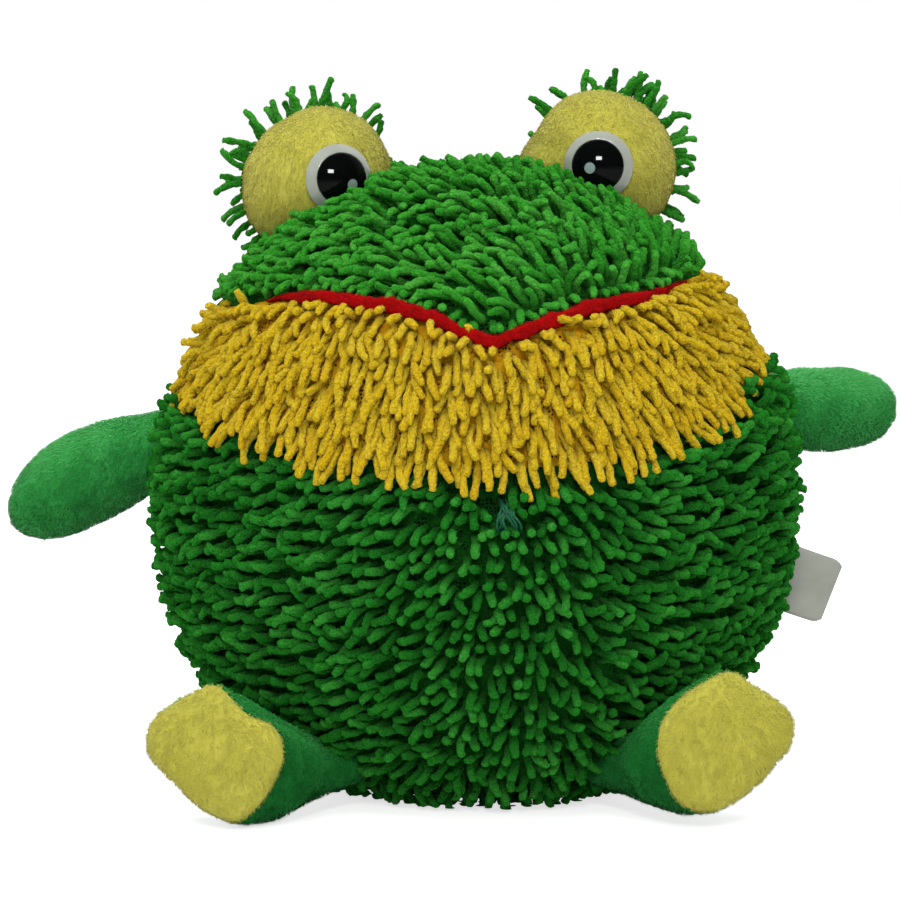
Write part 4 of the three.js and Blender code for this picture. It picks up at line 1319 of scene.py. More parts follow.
def combed_angle(panel, toy):
    """The way the pile is combed, as degrees from the toy's left in the front view."""
    across = toy[:, 0] / HALF_WIDTH
    if panel == "crown":
        return np.interp(across, *CROWN_COMB)
    if panel == "muzzle":
        mouth, chin = mouth_at(toy[:, 0]), chin_at(toy[:, 0])
        high = np.clip((toy[:, 2] - chin) / np.maximum(mouth - chin, MM), 0, 1)
        fan = np.interp(across, *MUZZLE_FAN)
        return STRAIGHT_DOWN + fan * (1 + 0.95 * high ** 2 * np.abs(across))
    if panel == "belly":
        hang = fade(-toy[:, 2] / CROWN_RISE, 0.8, 0.12)
        return np.interp(across, *BELLY_COMB) * (1 - hang) + STRAIGHT_DOWN * hang
    return STRAIGHT_DOWN + 50 * across


def before_eyes(across):
    """Where the crown's crest lies lower, so that the eyes look over it."""
    right = 0.85 * np.exp(-((across + 0.42) / 0.17) ** 2)
    left = 0.25 * np.exp(-((across - 0.5) / 0.12) ** 2)
    return right + left


def crest_share(toy):
    """1 on the crown's crest between the eyes, 0 below it."""
    return fade(toy[:, 2] / CROWN_RISE, 0.8, 0.14) * (1 - before_eyes(toy[:, 0] / HALF_WIDTH))


def flank_share(toy):
    """1 at the sides of the toy, 0 before them."""
    return fade(np.abs(toy[:, 0] / HALF_WIDTH), 0.72, 0.22)


def pile_lift(panel, toy):
    """How steeply the pile stands out of its cloth, in degrees."""
    across = toy[:, 0] / HALF_WIDTH
    lift = PILE_LIFT[panel]
    if panel == "crown":
        return lift + 28 * crest_share(toy)
    if panel == "muzzle":
        return lift - 6 * np.abs(across) + 9 * nearness(above_chin(toy), 9 * MM)
    if panel == "belly":
        middle = np.exp(-((across - 0.1) / 0.29) ** 2)
        top = nearness(-above_chin(toy), 8 * MM)
        low = fade(-toy[:, 2] / CROWN_RISE, 0.78, 0.2)
        return (lift + 41 * middle + 22 * flank_share(toy)) * (1 - 0.25 * low) * (1 - 0.58 * top)
    return np.full(len(toy), lift)


def lip_share(panel, toy):
    """1 for noodles right beside the mouth, which face the front, falling to 0 a little away."""
    front = fade(-toy[:, 1], 0.7 * LIP_SETBACK, 0.5 * LIP_SETBACK)
    if panel == "crown":
        return np.clip(1.7 - above_mouth(toy) / (3.7 * MM), 0, 1) * front
    if panel == "muzzle":
        return np.clip(1.45 + above_mouth(toy) / (4.0 * MM), 0, 1) * front
    return np.zeros(len(toy))


def lifted(comb, normal, lift):
    """Turns each combed way toward the front or away from it, until it leaves the skin at its lift."""
    along = component(comb, normal)[:, 0]
    ahead = -normal[:, 1]
    reach = np.maximum(np.hypot(along, ahead), 1e-6)
    turn = np.arctan2(ahead, along) - np.arccos(np.clip(np.sin(lift) / reach, -1, 1))
    chord = np.cos(turn)[:, None] * comb - np.sin(turn)[:, None] * np.array([0.0, 1.0, 0.0])
    short = np.clip(np.sin(lift)[:, None] - component(chord, normal), 0, None)
    return unit(chord + normal * short)


def swept(comb, normal, lift):
    """Lays each combed way along the skin and raises it by its lift."""
    flat = comb - component(comb, normal) * normal
    flat = unit(flat + 1e-4 * np.array([0.0, 0.3, -1.0]))
    return flat * np.cos(lift)[:, None] + normal * np.sin(lift)[:, None]


def lip_way(normal):
    """The way the felt and the noodles beside it stand: out of the skin, but hardly up."""
    return unit(normal - 0.85 * normal[..., 2:] * UP)


def pile_reach(panel, toy):
    """Share of its panel's usual length that the pile has at each place."""
    if panel == "crown":
        return 1 + 0.16 * crest_share(toy)
    if panel == "belly":
        return 1 + 0.25 * flank_share(toy)
    if panel == "muzzle":
        fringe = nearness(above_chin(toy), 14 * MM)
        return 1 + 0.16 * fringe - 0.18 * np.abs(toy[:, 0] / HALF_WIDTH) ** 1.5
    return np.ones(len(toy))


def combed(panel, roots, draw):
    """Chord and curl of the noodle at each root, and how long it is."""
    toy = to_toy(roots)
    count = len(roots)
    normal = skin_normal(roots)
    stray = draw.uniform(0, 1, count) < STRAY_SHARE
    scatter = PILE_SCATTER[panel] * np.where(stray, 3.5, 1.0)
    angle = np.radians(combed_angle(panel, toy) + draw.normal(0, 1, count) * scatter)
    comb = from_toy_way(np.stack([np.cos(angle), np.zeros(count), np.sin(angle)], axis=-1))
    lift = pile_lift(panel, toy) + draw.normal(0, LIFT_SPREAD, count)
    lift = np.radians(np.clip(lift, *LIFT_RANGE))
    chord = swept(comb, normal, lift)
    if panel != "back":
        under = fade(-toy[:, 2] / CROWN_RISE, 0.74, 0.14)[:, None]
        chord = unit(lifted(comb, normal, lift) * (1 - under) + chord * under)
    lip = lip_share(panel, toy)
    lean = -0.08 if panel == "crown" else 0.08
    facing = unit(lip_way(normal) + UP * lean + draw.normal(0, 0.15, roots.shape))
    chord = unit(chord * (1 - lip)[:, None] + facing * lip[:, None])
    reach = (1 - 0.36 * lip) * np.where(stray, 0.85, 1.0) * pile_reach(panel, toy)
    aside = normal + 0.4 * draw.normal(0, 1, roots.shape)
    return chord, unit(component(aside, chord) * chord - aside), reach


def clear_of_limbs(roots, chords, length):
    """Noodles whose foot, middle and end stay out of the limbs."""
    clear = np.ones(len(roots), bool)
    for share, margin in ((0.0, 0.3 * MM), (0.5, -0.4 * MM), (0.95, -1.6 * MM)):
        points = roots + chords * (length * share)[:, None]
        for centre, radius in LIMB_BALLS:
            clear &= np.linalg.norm(points - centre, axis=1) > radius + margin
    return clear


def clear_of_trim(roots, chords, length):
    """Keeps the thread tail and the side label in view."""
    clear = np.linalg.norm(roots - thread_root(), axis=1) > THREAD_ROOM
    place = label_place()
    for out in np.linspace(0.1, 1, 6):
        for up in np.linspace(-0.5, 0.5, 5):
            spot = label_point(place, out, up)
            for share in (0.3, 0.65, 1.0):
                points = roots + chords * (length * share)[:, None]
                clear &= np.linalg.norm(points - spot, axis=1) > LABEL_ROOM
    return clear


def lip_roots(draw):
    """Roots close beside the mouth, above it on the crown and below it on the muzzle."""
    found = {}
    step = LIP_GAP / (0.75 * HALF_WIDTH)
    for panel, sign in (("crown", 1), ("muzzle", -1)):
        roots = []
        for row, offset in enumerate(LIP_ROWS[panel]):
            for turn in np.arange(-1.5 + 0.5 * step * (row % 2), 1.5, step):
                across = math.sin(turn + draw.normal(0, 0.15) * step)
                up = mouth_at(0.75 * across * HALF_WIDTH) + sign * offset
                place = across * HALF_WIDTH * math.sqrt(1 - (up / CROWN_RISE) ** 2)
                up = float(mouth_at(place)) + sign * (offset + draw.normal(0, 0.3) * MM)
                if (place / HALF_WIDTH) ** 2 + (up / CROWN_RISE) ** 2 < LIP_RIM:
                    roots.append(front_point(place, up))
        found[panel] = np.array(roots)
    return found


def muzzle_strays():
    """Root, chord, curl and length share of the noodles that stick out beside the mouth."""
    rows = []
    for across, below, way, share in MUZZLE_STRAYS:
        place = across * HALF_WIDTH
        root = front_point(place, float(mouth_at(place)) - below)
        rows.append((root, unit(way), unit(np.cross(unit(way), (0.3, 0.9, 0.2))), share))
    return [np.array(column) for column in zip(*rows)]


def body_pile(panel):
    """The noodles of one panel of the body."""
    draw = np.random.default_rng(PILE_SEED[panel])
    row_gap, column_gap = PILE_ROWS[panel]
    rows = crosswise_rows if panel == "crown" else level_rows
    roots = rows(row_gap, column_gap, draw)
    if panel in LIP_PAST:
        toy = to_toy(roots)
        past_lip = (np.abs(above_mouth(toy)) > LIP_PAST[panel]) | (toy[:, 1] > -LIP_SETBACK)
        roots = np.vstack([lip_roots(draw)[panel], roots[past_lip]])
    roots = roots[panel_room(panel, roots) > PILE_EDGE[panel]]
    roots = roots[roots[:, 2] > PILE_FLOOR_ROOM]
    roots = thinned(roots, PILE_CROWDING * column_gap)
    chord, curl, reach = combed(panel, roots, draw)
    length = PILE_LENGTH[panel]
    clear = clear_of_limbs(roots, chord, length * reach) & clear_of_trim(roots, chord, length * reach)
    noodles = [values[clear] for values in (roots, chord, curl, reach)]
    if panel == "muzzle":
        noodles = [np.concatenate(pair) for pair in zip(noodles, muzzle_strays())]
    roots, chord, curl, reach = noodles
    tints = draw.uniform(0, 1, len(roots))
    made = grow_pile(
        f"{panel}_pile", roots - chord * NOODLE_ROOTING, chord, curl, reach, tints,
        CHENILLE[panel], length, PILE_SEED[panel], PILE_THICKNESS[panel])
    return dress(made, CHENILLE[panel], "body")


# Mouth strip, side label and thread tail

def front_point(across, up):
    """The point of the skin's front that shows at a place in the toy's front view."""
    level = abs(across) / HALF_WIDTH
    fullness = 1 - (abs(up) / CROWN_RISE) ** CROWN_ROUNDNESS
    depth = HALF_DEPTH * math.sqrt(max(fullness ** (2 / CROWN_ROUNDNESS) - level ** 2, 0))
    return skin_point(from_toy_way(np.array([across, -depth, up])))


def felt_ring(share):
    """The felt's section at a share of its length; it is pinched at both ends."""
    across = (MOUTH_LEFT_SHARE + (MOUTH_RIGHT_SHARE - MOUTH_LEFT_SHARE) * share) * HALF_WIDTH
    wave = noise.noise(Vector((across / (6 * MM), 0.3, 0.0)))
    swell = noise.noise(Vector((across / (4 * MM), 4.3, 0.0)))
    pinch = min(1.0, 7 * min(share, 1 - share) + 0.04)
    height = MOUTH_STRIP_HEIGHT * (1 + 0.4 * swell) * pinch
    standout = MOUTH_STRIP_STANDOUT * (1 + 0.1 * wave) * (0.3 + 0.7 * pinch)
    foot = front_point(across, float(mouth_at(across)) + 0.7 * MM * wave)
    way = lip_way(skin_normal(foot))
    over = unit(UP - way[2] * way)
    return [
        foot + over * rise * height + way * (out * standout - MOUTH_STRIP_ROOTING)
        for rise, out in MOUTH_STRIP_SECTION]


def mouth_strip():
    """A folded ribbon of felt, standing out of the seam between crown and muzzle."""
    rings = [felt_ring(step / MOUTH_STRIP_STEPS) for step in range(MOUTH_STRIP_STEPS + 1)]
    made = loft("mouth_felt", rings, np.mean(rings[0], axis=0), np.mean(rings[-1], axis=0))
    points = points_of(made)
    move_points(made, points + lumpiness(points, (2.2 * MM, 23, 0.55 * MM))[:, None] * UP)
    dress(made, RED_FELT, "body", ["mouth_strip"])
    brushed(
        made, FELT_DENSITY, FELT_NAP, one_way(UP * 0.2), FELT_FIBRE, "body",
        SEEDS["felt_nap"], ruffle=1.6)


def label_place():
    """The label's root in the side seam, and its ways outward and up."""
    azimuth = math.degrees(math.asin(SIDE_SEAM_SETBACK / HALF_WIDTH))
    root = skin_point(from_toy_way(way_at(azimuth, LABEL_ELEVATION)))
    cosine, sine = math.cos(LABEL_DROOP), math.sin(LABEL_DROOP)
    return root, np.array([cosine, 0.0, -sine]), np.array([sine, 0.0, cosine])


def label_point(place, out, up):
    """A point of the label by its shares outward and up; it curls back and its corners are cut."""
    root, outward, upward = place
    back = LABEL_CURL * out ** 2 * (1 - 0.7 * up) - LABEL_BELLY * math.sin(math.pi * out)
    up = up * (1 - 0.14 * max(0.0, (out - 0.88) / 0.12) ** 2)
    return (root + outward * out * LABEL_STANDOUT + upward * up * LABEL_HEIGHT
            + np.array([0.0, back, 0.0]))


def side_label():
    """A bare ribbon label, sewn into the side seam."""
    place = label_place()
    columns, rows = 26, 20
    outs = np.linspace(1 - LABEL_LENGTH / LABEL_STANDOUT, 1, columns)
    ups = np.linspace(-0.5, 0.5, rows)
    vertices = [label_point(place, out, up) for out in outs for up in ups]
    sheet = new_object("satin_label", vertices, quads(columns, rows, wrap=False))
    made = walled(tidy_faces(sheet), LABEL_THICKNESS, 0)
    dress(made, LABEL_SATIN, "body", ["side_label"])
    return made


def thread_root():
    """Where the thread comes out of the belly."""
    return skin_point(from_toy_way(way_at(THREAD_AZIMUTH, THREAD_ELEVATION)))


def tube(points, radius, sides=6):
    """Rings of points round a line."""
    points = np.asarray(points)
    rings = []
    for i, point in enumerate(points):
        run = unit(points[min(i + 1, len(points) - 1)] - points[max(i - 1, 0)])
        across = unit(np.cross(run, [0.31, 0.94, 0.12]))
        rings.append(ring(point, across, np.cross(run, across), full_turns(sides), radius))
    return rings


def thread_tail():
    """A tuft of teal thread ends that hangs out of the pile."""
    draw = np.random.default_rng(SEEDS["thread"])
    root = thread_root()
    normal = skin_normal(root)
    made = []
    for strand in range(THREAD_STRANDS):
        lean = draw.uniform(-0.05, 0.5)
        droop = unit(np.array([lean, -0.12, -1.0]))
        spread = np.array([lean * THREAD_SPREAD, 0.0, draw.uniform(-1, 1) * MM])
        length = THREAD_LENGTH * draw.uniform(0.55, 1.0)
        line = []
        for share in np.linspace(0, 1, 9):
            out = THREAD_STANDOUT * (1 - (1 - share) ** 4) + THREAD_BOW * math.sin(math.pi * share)
            sway = np.array([THREAD_SWAY * math.sin(share * 5 + strand), 0.0, 0.0])
            line.append(root + spread + droop * length * share + normal * out + sway)
        made.append(loft(f"thread_{strand}", tube(line, THREAD_RADIUS), line[0], line[-1]))
    return dress(joined("thread_tuft", made), TEAL_THREAD, "body", ["thread_tail"])


def joined(name, pieces):
    """One object made of several."""
    work = bmesh.new()
    for piece in pieces:
        work.from_mesh(piece.data)
        bpy.data.objects.remove(piece)
    made = new_object(name, [], [])
    work.to_mesh(made.data)
    work.free()
    made.data.shade_smooth()
    return made


# Arms: plush sausages, bowed a little, with a puckered end

def arm_ring(name, share, radius, turns):
    """A ring of an arm's skin: bowed, drawn in at its two seams and puckered near its end."""
    along = arm_way(name)
    across = unit(np.cross(along, UP))
    over = unit(np.cross(across, along))
    seen_share = np.clip(share, 0, 1)
    middle = ARM_ROOT[name] + along * share * ARM_LENGTH[name]
    middle = middle + over * ARM_BOW[name] * math.sin(math.pi * seen_share)
    seam = -0.045 * np.exp(-(np.sin(turns) / 0.09) ** 2) * (0.3 + 0.7 * seen_share)
    tuck = 0.05 * np.cos(7 * turns + 3 * share) * math.exp(-((share - 0.93) / 0.07) ** 2)
    tall = radius * (1 + seam + tuck)
    return (middle + (ARM_FLATNESS * tall * np.cos(turns))[:, None] * across
            + (tall * np.sin(turns))[:, None] * over)


def arm(name):
    """A plush sausage, sewn into the side seam."""
    along, length, root = arm_way(name), ARM_LENGTH[name], ARM_ROOT[name]
    round_end = np.sin(np.linspace(0, math.pi / 2, 18)[1:])
    stations = np.concatenate([np.linspace(-0.14, 0.8, 48), 0.8 + 0.199 * round_end])
    turns = full_turns(64)
    rings = [
        arm_ring(name, share, radius, turns)
        for share, radius in zip(stations, arm_section(name, stations))]
    tips = (root + along * share * length for share in (ARM_START, 0.999))
    made = loft(f"{name}_arm", rings, *tips)
    relaxed(made, 6)
    points = points_of(made)
    reach = (points - root) @ along
    near_end = np.exp(-((np.clip(reach / length, 0, 1) - 0.9) / 0.13) ** 2)
    lumps = lumpiness(points, (13 * MM, 3 + SIDES[name], 0.5 * MM), (4 * MM, 9, 0.16 * MM))
    wrinkles = lumpiness(points, (2.4 * MM, 12, 0.5 * MM)) * near_end
    away = unit(points - (root + np.outer(reach, along)))
    move_points(made, points + away * (lumps + wrinkles)[:, None])
    dress(made, LIMB_PLUSH, f"{name}_arm", [f"{name}_arm_cover"])
    brushed(
        made, PLUSH_DENSITY, LIMB_NAP, one_way(along - 0.3 * UP), LIMB_FIBRE,
        f"{name}_arm", SEEDS["arm_nap"] + SIDES[name])


# Legs and soles

def share_place(turns, count):
    """Which of evenly spaced shares each turn comes after, and how far it is past it."""
    place = (np.asarray(turns) / (2 * math.pi) % 1) * count
    low = np.floor(place).astype(int)
    return low, place - low


def sole_share(name, turns):
    """Outline of a sole by the angle round it, from the toy's left through up."""
    shares = np.array(SOLE_SHARES[name])
    low, t = share_place(turns, len(shares))
    return catmull_rom(*(shares[(low + k) % len(shares)] for k in (-1, 0, 1, 2)), t)


def front_axes(way):
    """Axes square to a way that faces the front: one to the toy's left, one up."""
    across = unit(np.cross(way, UP))
    across = across * np.sign(across[0])
    over = unit(np.cross(across, way))
    return across, over * np.sign(over[2])


def sole_ring(name, middle, run, radius, soleness, sides=72):
    """A ring across a leg, as seen from the front: round near the body, sole-shaped at its end."""
    across, over = front_axes(run)
    turns = full_turns(sides)
    shape = 1 + (sole_share(name, turns) - 1) * soleness
    return ring(middle, across, over, turns, (radius * shape)[:, None])


def leg(name):
    """A plush leg that widens toward its sole, with its stuffing."""
    shares = np.linspace(0, 1.0, 32)
    points, runs = leg_line(name, shares)
    radii = leg_radius(name, shares)
    root, end, facing = points[0], sole_centre(name), sole_way(name)
    rings = []
    for angle in np.radians([25, 50, 75]):
        middle = root - runs[0] * LEG_ROOT_RADIUS * math.cos(angle)
        rings.append(sole_ring(name, middle, runs[0], LEG_ROOT_RADIUS * math.sin(angle), 0))
    start = root - runs[0] * LEG_ROOT_RADIUS
    square = eased(fade(shares[:, None], 0.2, 0.55))
    runs = unit(runs * (1 - square) + facing * square)
    for point, run, radius, share in zip(points, runs, radii, shares):
        rings.append(sole_ring(name, point, run, radius, share ** 2))
    for inset, ahead in ((0.965, 0.5 * MM), (0.9, 0.3 * MM)):
        rings.append(sole_ring(name, end + facing * ahead, facing, SOLE_RADIUS * inset, 1))
    made = loft(f"{name}_leg", rings, start, end - facing * 1.0 * MM)
    skin = points_of(made)
    lumps = lumpiness(skin, (10 * MM, 5 + SIDES[name], 0.6 * MM), (4 * MM, 2, 0.25 * MM))
    move_points(made, on_floor(skin + unit(skin - (root + end) / 2) * lumps[:, None]))
    dress(made, SHADED_LEG_PLUSH, f"{name}_leg", [f"{name}_leg_cover"])

    inner = [
        sole_ring(name, points[k], runs[k], radii[k] - LEG_WALL, shares[k] ** 2, 24)
        for k in range(4, len(shares) - 3)]
    stuffing = loft(f"{name}_leg_stuffing", inner, points[4], points[-4])
    dress(stuffing, STUFFING, f"{name}_leg", [f"{name}_leg_filling"])
    brushed(
        made, PLUSH_DENSITY, LIMB_NAP, one_way(facing - 0.3 * UP), SHADED_LEG_FIBRE,
        f"{name}_leg", SEEDS["leg_nap"] + SIDES[name],
        keep=lambda places, normals: (places - end) @ facing < 0.1 * MM)


def sole(name):
    """A padded yellow sole, bulging out of its seam."""
    facing, end = sole_way(name), sole_centre(name)
    foot = end + facing * SOLE_SETBACK
    rings = [
        sole_ring(name, foot + facing * height * SOLE_BULGE, facing, SOLE_RADIUS * inset, 1)
        for inset, height in SOLE_SECTION]
    made = loft(f"{name}_sole", rings, foot, foot + facing * SOLE_BULGE)
    points = points_of(made)
    lumps = lumpiness(points, (12 * MM, 6 + SIDES[name], 0.7 * MM), (3.5 * MM, 4, 0.12 * MM))
    high = np.clip((points - end) @ facing / SOLE_BULGE, 0, 1)
    move_points(made, on_floor(points + facing * (lumps * high)[:, None]))
    dress(made, SOLE_PLUSH, f"{name}_leg", [f"{name}_sole_panel"])
    brushed(
        made, PLUSH_DENSITY, SOLE_NAP, lambda places: unit(places - end) * 0.6 - 0.5 * UP,
        SOLE_FIBRE, f"{name}_leg", SEEDS["sole_nap"] + SIDES[name],
        keep=lambda places, normals: normals @ facing > -0.2, ruffle=0.35)


# Eye pods: a yellow plush front, a green chenille back and a safety eye

def pod_share(name, turns):
    """Outline of a pod by the angle round it, from the toy's left through up."""
    shares = np.array(POD_SHARES[name])
    low, past = share_place(turns, len(shares))
    blend = (1 - np.cos(math.pi * past)) / 2
    return shares[low % len(shares)] * (1 - blend) + shares[(low + 1) % len(shares)] * blend


def pod_point(name, polar, turns, outset=0.0):
    """A point of a pod by its angle from the front and its turn round the front's axis."""
    turn_in = -SIDES[name] * POD_TOE_IN
    front = np.array([math.sin(turn_in), -math.cos(turn_in), 0.0])
    across = np.array([math.cos(turn_in), math.sin(turn_in), 0.0])
    shape = 1 + (pod_share(name, turns) - 1) * np.sin(polar) ** 2
    reach = (POD_RADIUS * shape + outset)[..., None]
    aside = np.cos(turns)[..., None] * across + np.sin(turns)[..., None] * UP
    way = np.cos(polar)[..., None] * front + np.sin(polar)[..., None] * aside
    return POD_CENTRE[name] + reach * way


def pod_half(name, half):
    """The front or back half of a pod, drawn in at its seam, with a wall behind it."""
    turns = full_turns(64)
    sweep = np.linspace(4, 89.2, 22) if half == "front" else np.linspace(176, 90.8, 22)
    rings = []
    for degrees in sweep:
        dip = -0.9 * MM * math.exp(-((degrees - 90) / 3.5) ** 2)
        rings.append(pod_point(name, np.full(len(turns), math.radians(degrees)), turns, dip))
    seam = np.full(len(turns), math.radians(sweep[-1]))
    rings.append(pod_point(name, seam, turns, -POD_WALL))
    tip = pod_point(name, np.array([0.0 if half == "front" else math.pi]), np.array([0.0]))[0]
    made = loft(f"{name}_eye_{half}", rings, tip, POD_CENTRE[name])
    points = points_of(made)
    away = points - POD_CENTRE[name]
    seen = np.linalg.norm(away, axis=1) > POD_RADIUS * 0.5
    lumps = lumpiness(points, (12 * MM, 8 + SIDES[name], 0.6 * MM), (4 * MM, 3, 0.15 * MM))
    move_points(made, points + unit(away) * (lumps * seen)[:, None])
    return made


def pod_front(name):
    """The yellow plush half of a pod, brushed down all round its safety eye."""
    made = pod_half(name, "front")
    dress(made, EYE_PLUSH, f"{name}_eye", [f"{name}_eye_front_panel"])
    eye = POD_CENTRE[name] + eye_way(name) * POD_RADIUS

    def seen(places, normals):
        outside = np.linalg.norm(places - POD_CENTRE[name], axis=1) > 0.8 * POD_RADIUS
        return outside & (np.linalg.norm(places - eye, axis=1) > DOME_RADIUS - 1.0 * MM)

    brushed(
        made, PLUSH_DENSITY, POD_NAP, one_way(-UP * 0.8), EYE_FIBRE,
        f"{name}_eye", SEEDS["pod_nap"] + SIDES[name], keep=seen, ruffle=0.4)


def pod_back(name):
    """The knit under a pod's chenille half."""
    made = pod_half(name, "back")
    stands_for = [f"{name}_eye_back_panel"]
    return dress(made, GREEN_KNIT, f"{name}_eye", stands_for)


def clear_when_nodded(name, roots):
    """Roots that stay out of the body when the pod nods all the way back."""
    x, y, z = (roots - POD_CENTRE[name]).T
    c, s = math.cos(NOD_BACK), math.sin(NOD_BACK)
    tipped = POD_CENTRE[name] + np.stack([x, y * c + z * s, z * c - y * s], axis=1)
    return above_skin(tipped) > 0


def pod_pile(name):
    """Noodles that stand out round the back half of a pod, and a tuft that falls over its front."""
    draw = np.random.default_rng(SEEDS["pod_roots"] + SIDES[name])
    low, high = BARE_FRINGE[name]
    places = [(math.radians(draw.uniform(96, 108)), math.radians(turn)) for turn in POD_TUFT[name]]
    for degrees, count in POD_PILE_ROWS:
        for k in range(count):
            turn = 2 * math.pi * (k + draw.uniform(-0.25, 0.25) + 0.5 * (degrees % 2)) / count
            polar = math.radians(degrees + draw.normal(0, 2.0))
            if degrees >= 120 or (math.degrees(turn) - low) % 360 >= high - low:
                places.append((polar, turn))
    polars, turns = np.array(places).T
    roots = pod_point(name, polars, turns)
    roots = roots[above_skin(roots) > 2 * MM]
    ways = unit(roots - POD_CENTRE[name])
    side = unit(np.cross(ways, draw.normal(0, 1, ways.shape)))
    chord = unit(ways + side * draw.uniform(0, 0.42, len(ways))[:, None] + np.array([0.0, 0.12, 0.1]))
    curl = unit(side - component(side, chord) * chord)
    tints = draw.uniform(0, 1, len(roots))
    reach = draw.uniform(0.7, 1.1, len(roots))
    kept = clear_when_nodded(name, roots)
    feet = roots - chord * NOODLE_ROOTING
    made = grow_pile(
        f"{name}_eye_pile", feet[kept], chord[kept], curl[kept], reach[kept], tints[kept],
        CROWN_GREEN, POD_PILE_LENGTH, SEEDS["pod_noodles"] + SIDES[name], POD_PILE_THICKNESS)
    return dress(made, CROWN_GREEN, f"{name}_eye")


def lathe(name, profile, centre, way, sides=72):
    """A turned shape: profile holds radius and height along the way."""
    across = unit(np.cross(way, UP))
    over = np.cross(across, way)
    turns = full_turns(sides)
    rings = [
        ring(centre + way * height, across, over, turns, radius) for radius, height in profile[1:-1]]
    first, last = (centre + way * profile[i][1] for i in (0, -1))
    return loft(name, rings, first, last)


DOME_SPHERE = (DOME_RADIUS ** 2 + DOME_HEIGHT ** 2) / (2 * DOME_HEIGHT)


def dome_height(radius, lift=0.0):
    """Height of the dome's ball over the pod at a radius from its middle."""
    return DOME_FOOT + DOME_HEIGHT - DOME_SPHERE + math.sqrt(DOME_SPHERE ** 2 - radius ** 2) + lift


def dome_profile():
    """Half section of the white dome: shank, rim, ball and the hollow that holds the pupil."""
    hollow = dome_height(PUPIL_RADIUS, -0.3 * MM)
    return [
        (0.0, -SHANK_DEPTH), (SHANK_RADIUS, -SHANK_DEPTH), (SHANK_RADIUS, DOME_FOOT - 0.8 * MM),
        (DOME_RADIUS * 0.9, DOME_FOOT - 1.2 * MM), (DOME_RADIUS * 0.985, DOME_FOOT - 0.6 * MM),
        (DOME_RADIUS, DOME_FOOT),
        *((radius, dome_height(radius))
          for radius in np.linspace(DOME_RADIUS * 0.99, PUPIL_RADIUS + 0.1 * MM, 9)),
        (PUPIL_RADIUS + 0.05 * MM, hollow), (0.0, hollow)]


def pupil_profile():
    """Half section of the black middle, which stands a little proud of the dome."""
    under = dome_height(PUPIL_RADIUS, -0.2 * MM)
    return [
        (0.0, under), (PUPIL_RADIUS, under), (PUPIL_RADIUS, dome_height(PUPIL_RADIUS, 0.05 * MM)),
        *((radius, dome_height(radius, PUPIL_RISE))
          for radius in np.linspace(PUPIL_RADIUS * 0.97, PUPIL_RADIUS * 0.06, 16)),
        (0.0, dome_height(0.0, PUPIL_RISE))]


def safety_eye(name):
    """A white plastic dome with a glossy black middle, snapped through the pod's front."""
    way = eye_way(name)
    centre = POD_CENTRE[name] + way * POD_RADIUS
    dome = lathe(f"{name}_eye_white", dome_profile(), centre, way)
    dress(dome, EYE_WHITE, f"{name}_eye", [f"{name}_eye_dome"])
    pupil = lathe(f"{name}_eye_black", pupil_profile(), centre, way)
    across, over = front_axes(way)
    aside, above = DOT_PLACE[name]
    height = dome_height(math.hypot(aside, above), PUPIL_RISE)
    gloss = pupil_material(f"{name}_eye_gloss", centre + across * aside + over * above + way * height)
    dress(pupil, gloss, f"{name}_eye", [f"{name}_eye_pupil"])


# Inner CAD pieces keep their shape and get a finish

def finish_inner_nodes():
    """Draws in the stuffing of body, arms and pods, and gives the washers their plastic."""
    for name, node in frame["nodes"].items():
        if name.endswith("_filling") and "_leg_" not in name:
            inner_filling(name, node)
        if name.endswith("_washer"):
            if not node.material_slots:
                node.data.materials.append(WASHER)
            for slot in node.material_slots:
                slot.material = WASHER


def inner_filling(name, node):
    """Stuffing drawn in from its cover by a little, so that a hollow in the cover never shows it."""
    mesh = node.data.copy()
    mesh.transform(node.matrix_world)
    made = shown(bpy.data.objects.new(name.replace("_filling", "_stuffing"), mesh))
    work = bmesh.new()
    work.from_mesh(mesh)
    outward(work)
    work.normal_update()
    inset = BODY_FILLING_INSET if name == "body_filling" else LIMB_FILLING_INSET
    moved = [vertex.co - vertex.normal * inset for vertex in work.verts]
    for vertex, place in zip(work.verts, moved):
        vertex.co = place
    work.to_mesh(mesh)
    work.free()
    mesh.shade_smooth()
    body = "body" if name == "body_filling" else name.replace("_filling", "")
    dress(made, STUFFING, body, [name])


# Floor, light and camera

def dimmed_in_front(tree, place, start, stop, dimmest):
    """1 for what lies behind the toy, falling to its dimmest in front of it."""
    split = add(tree, "ShaderNodeSeparateXYZ")
    tree.links.new(place, split.inputs["Vector"])
    made = add(tree, "ShaderNodeMapRange")
    for socket, value in zip(made.inputs[1:5], (start, stop, dimmest, 1.0)):
        socket.default_value = value
    tree.links.new(split.outputs["Y"], made.inputs["Value"])
    return made.outputs["Result"]


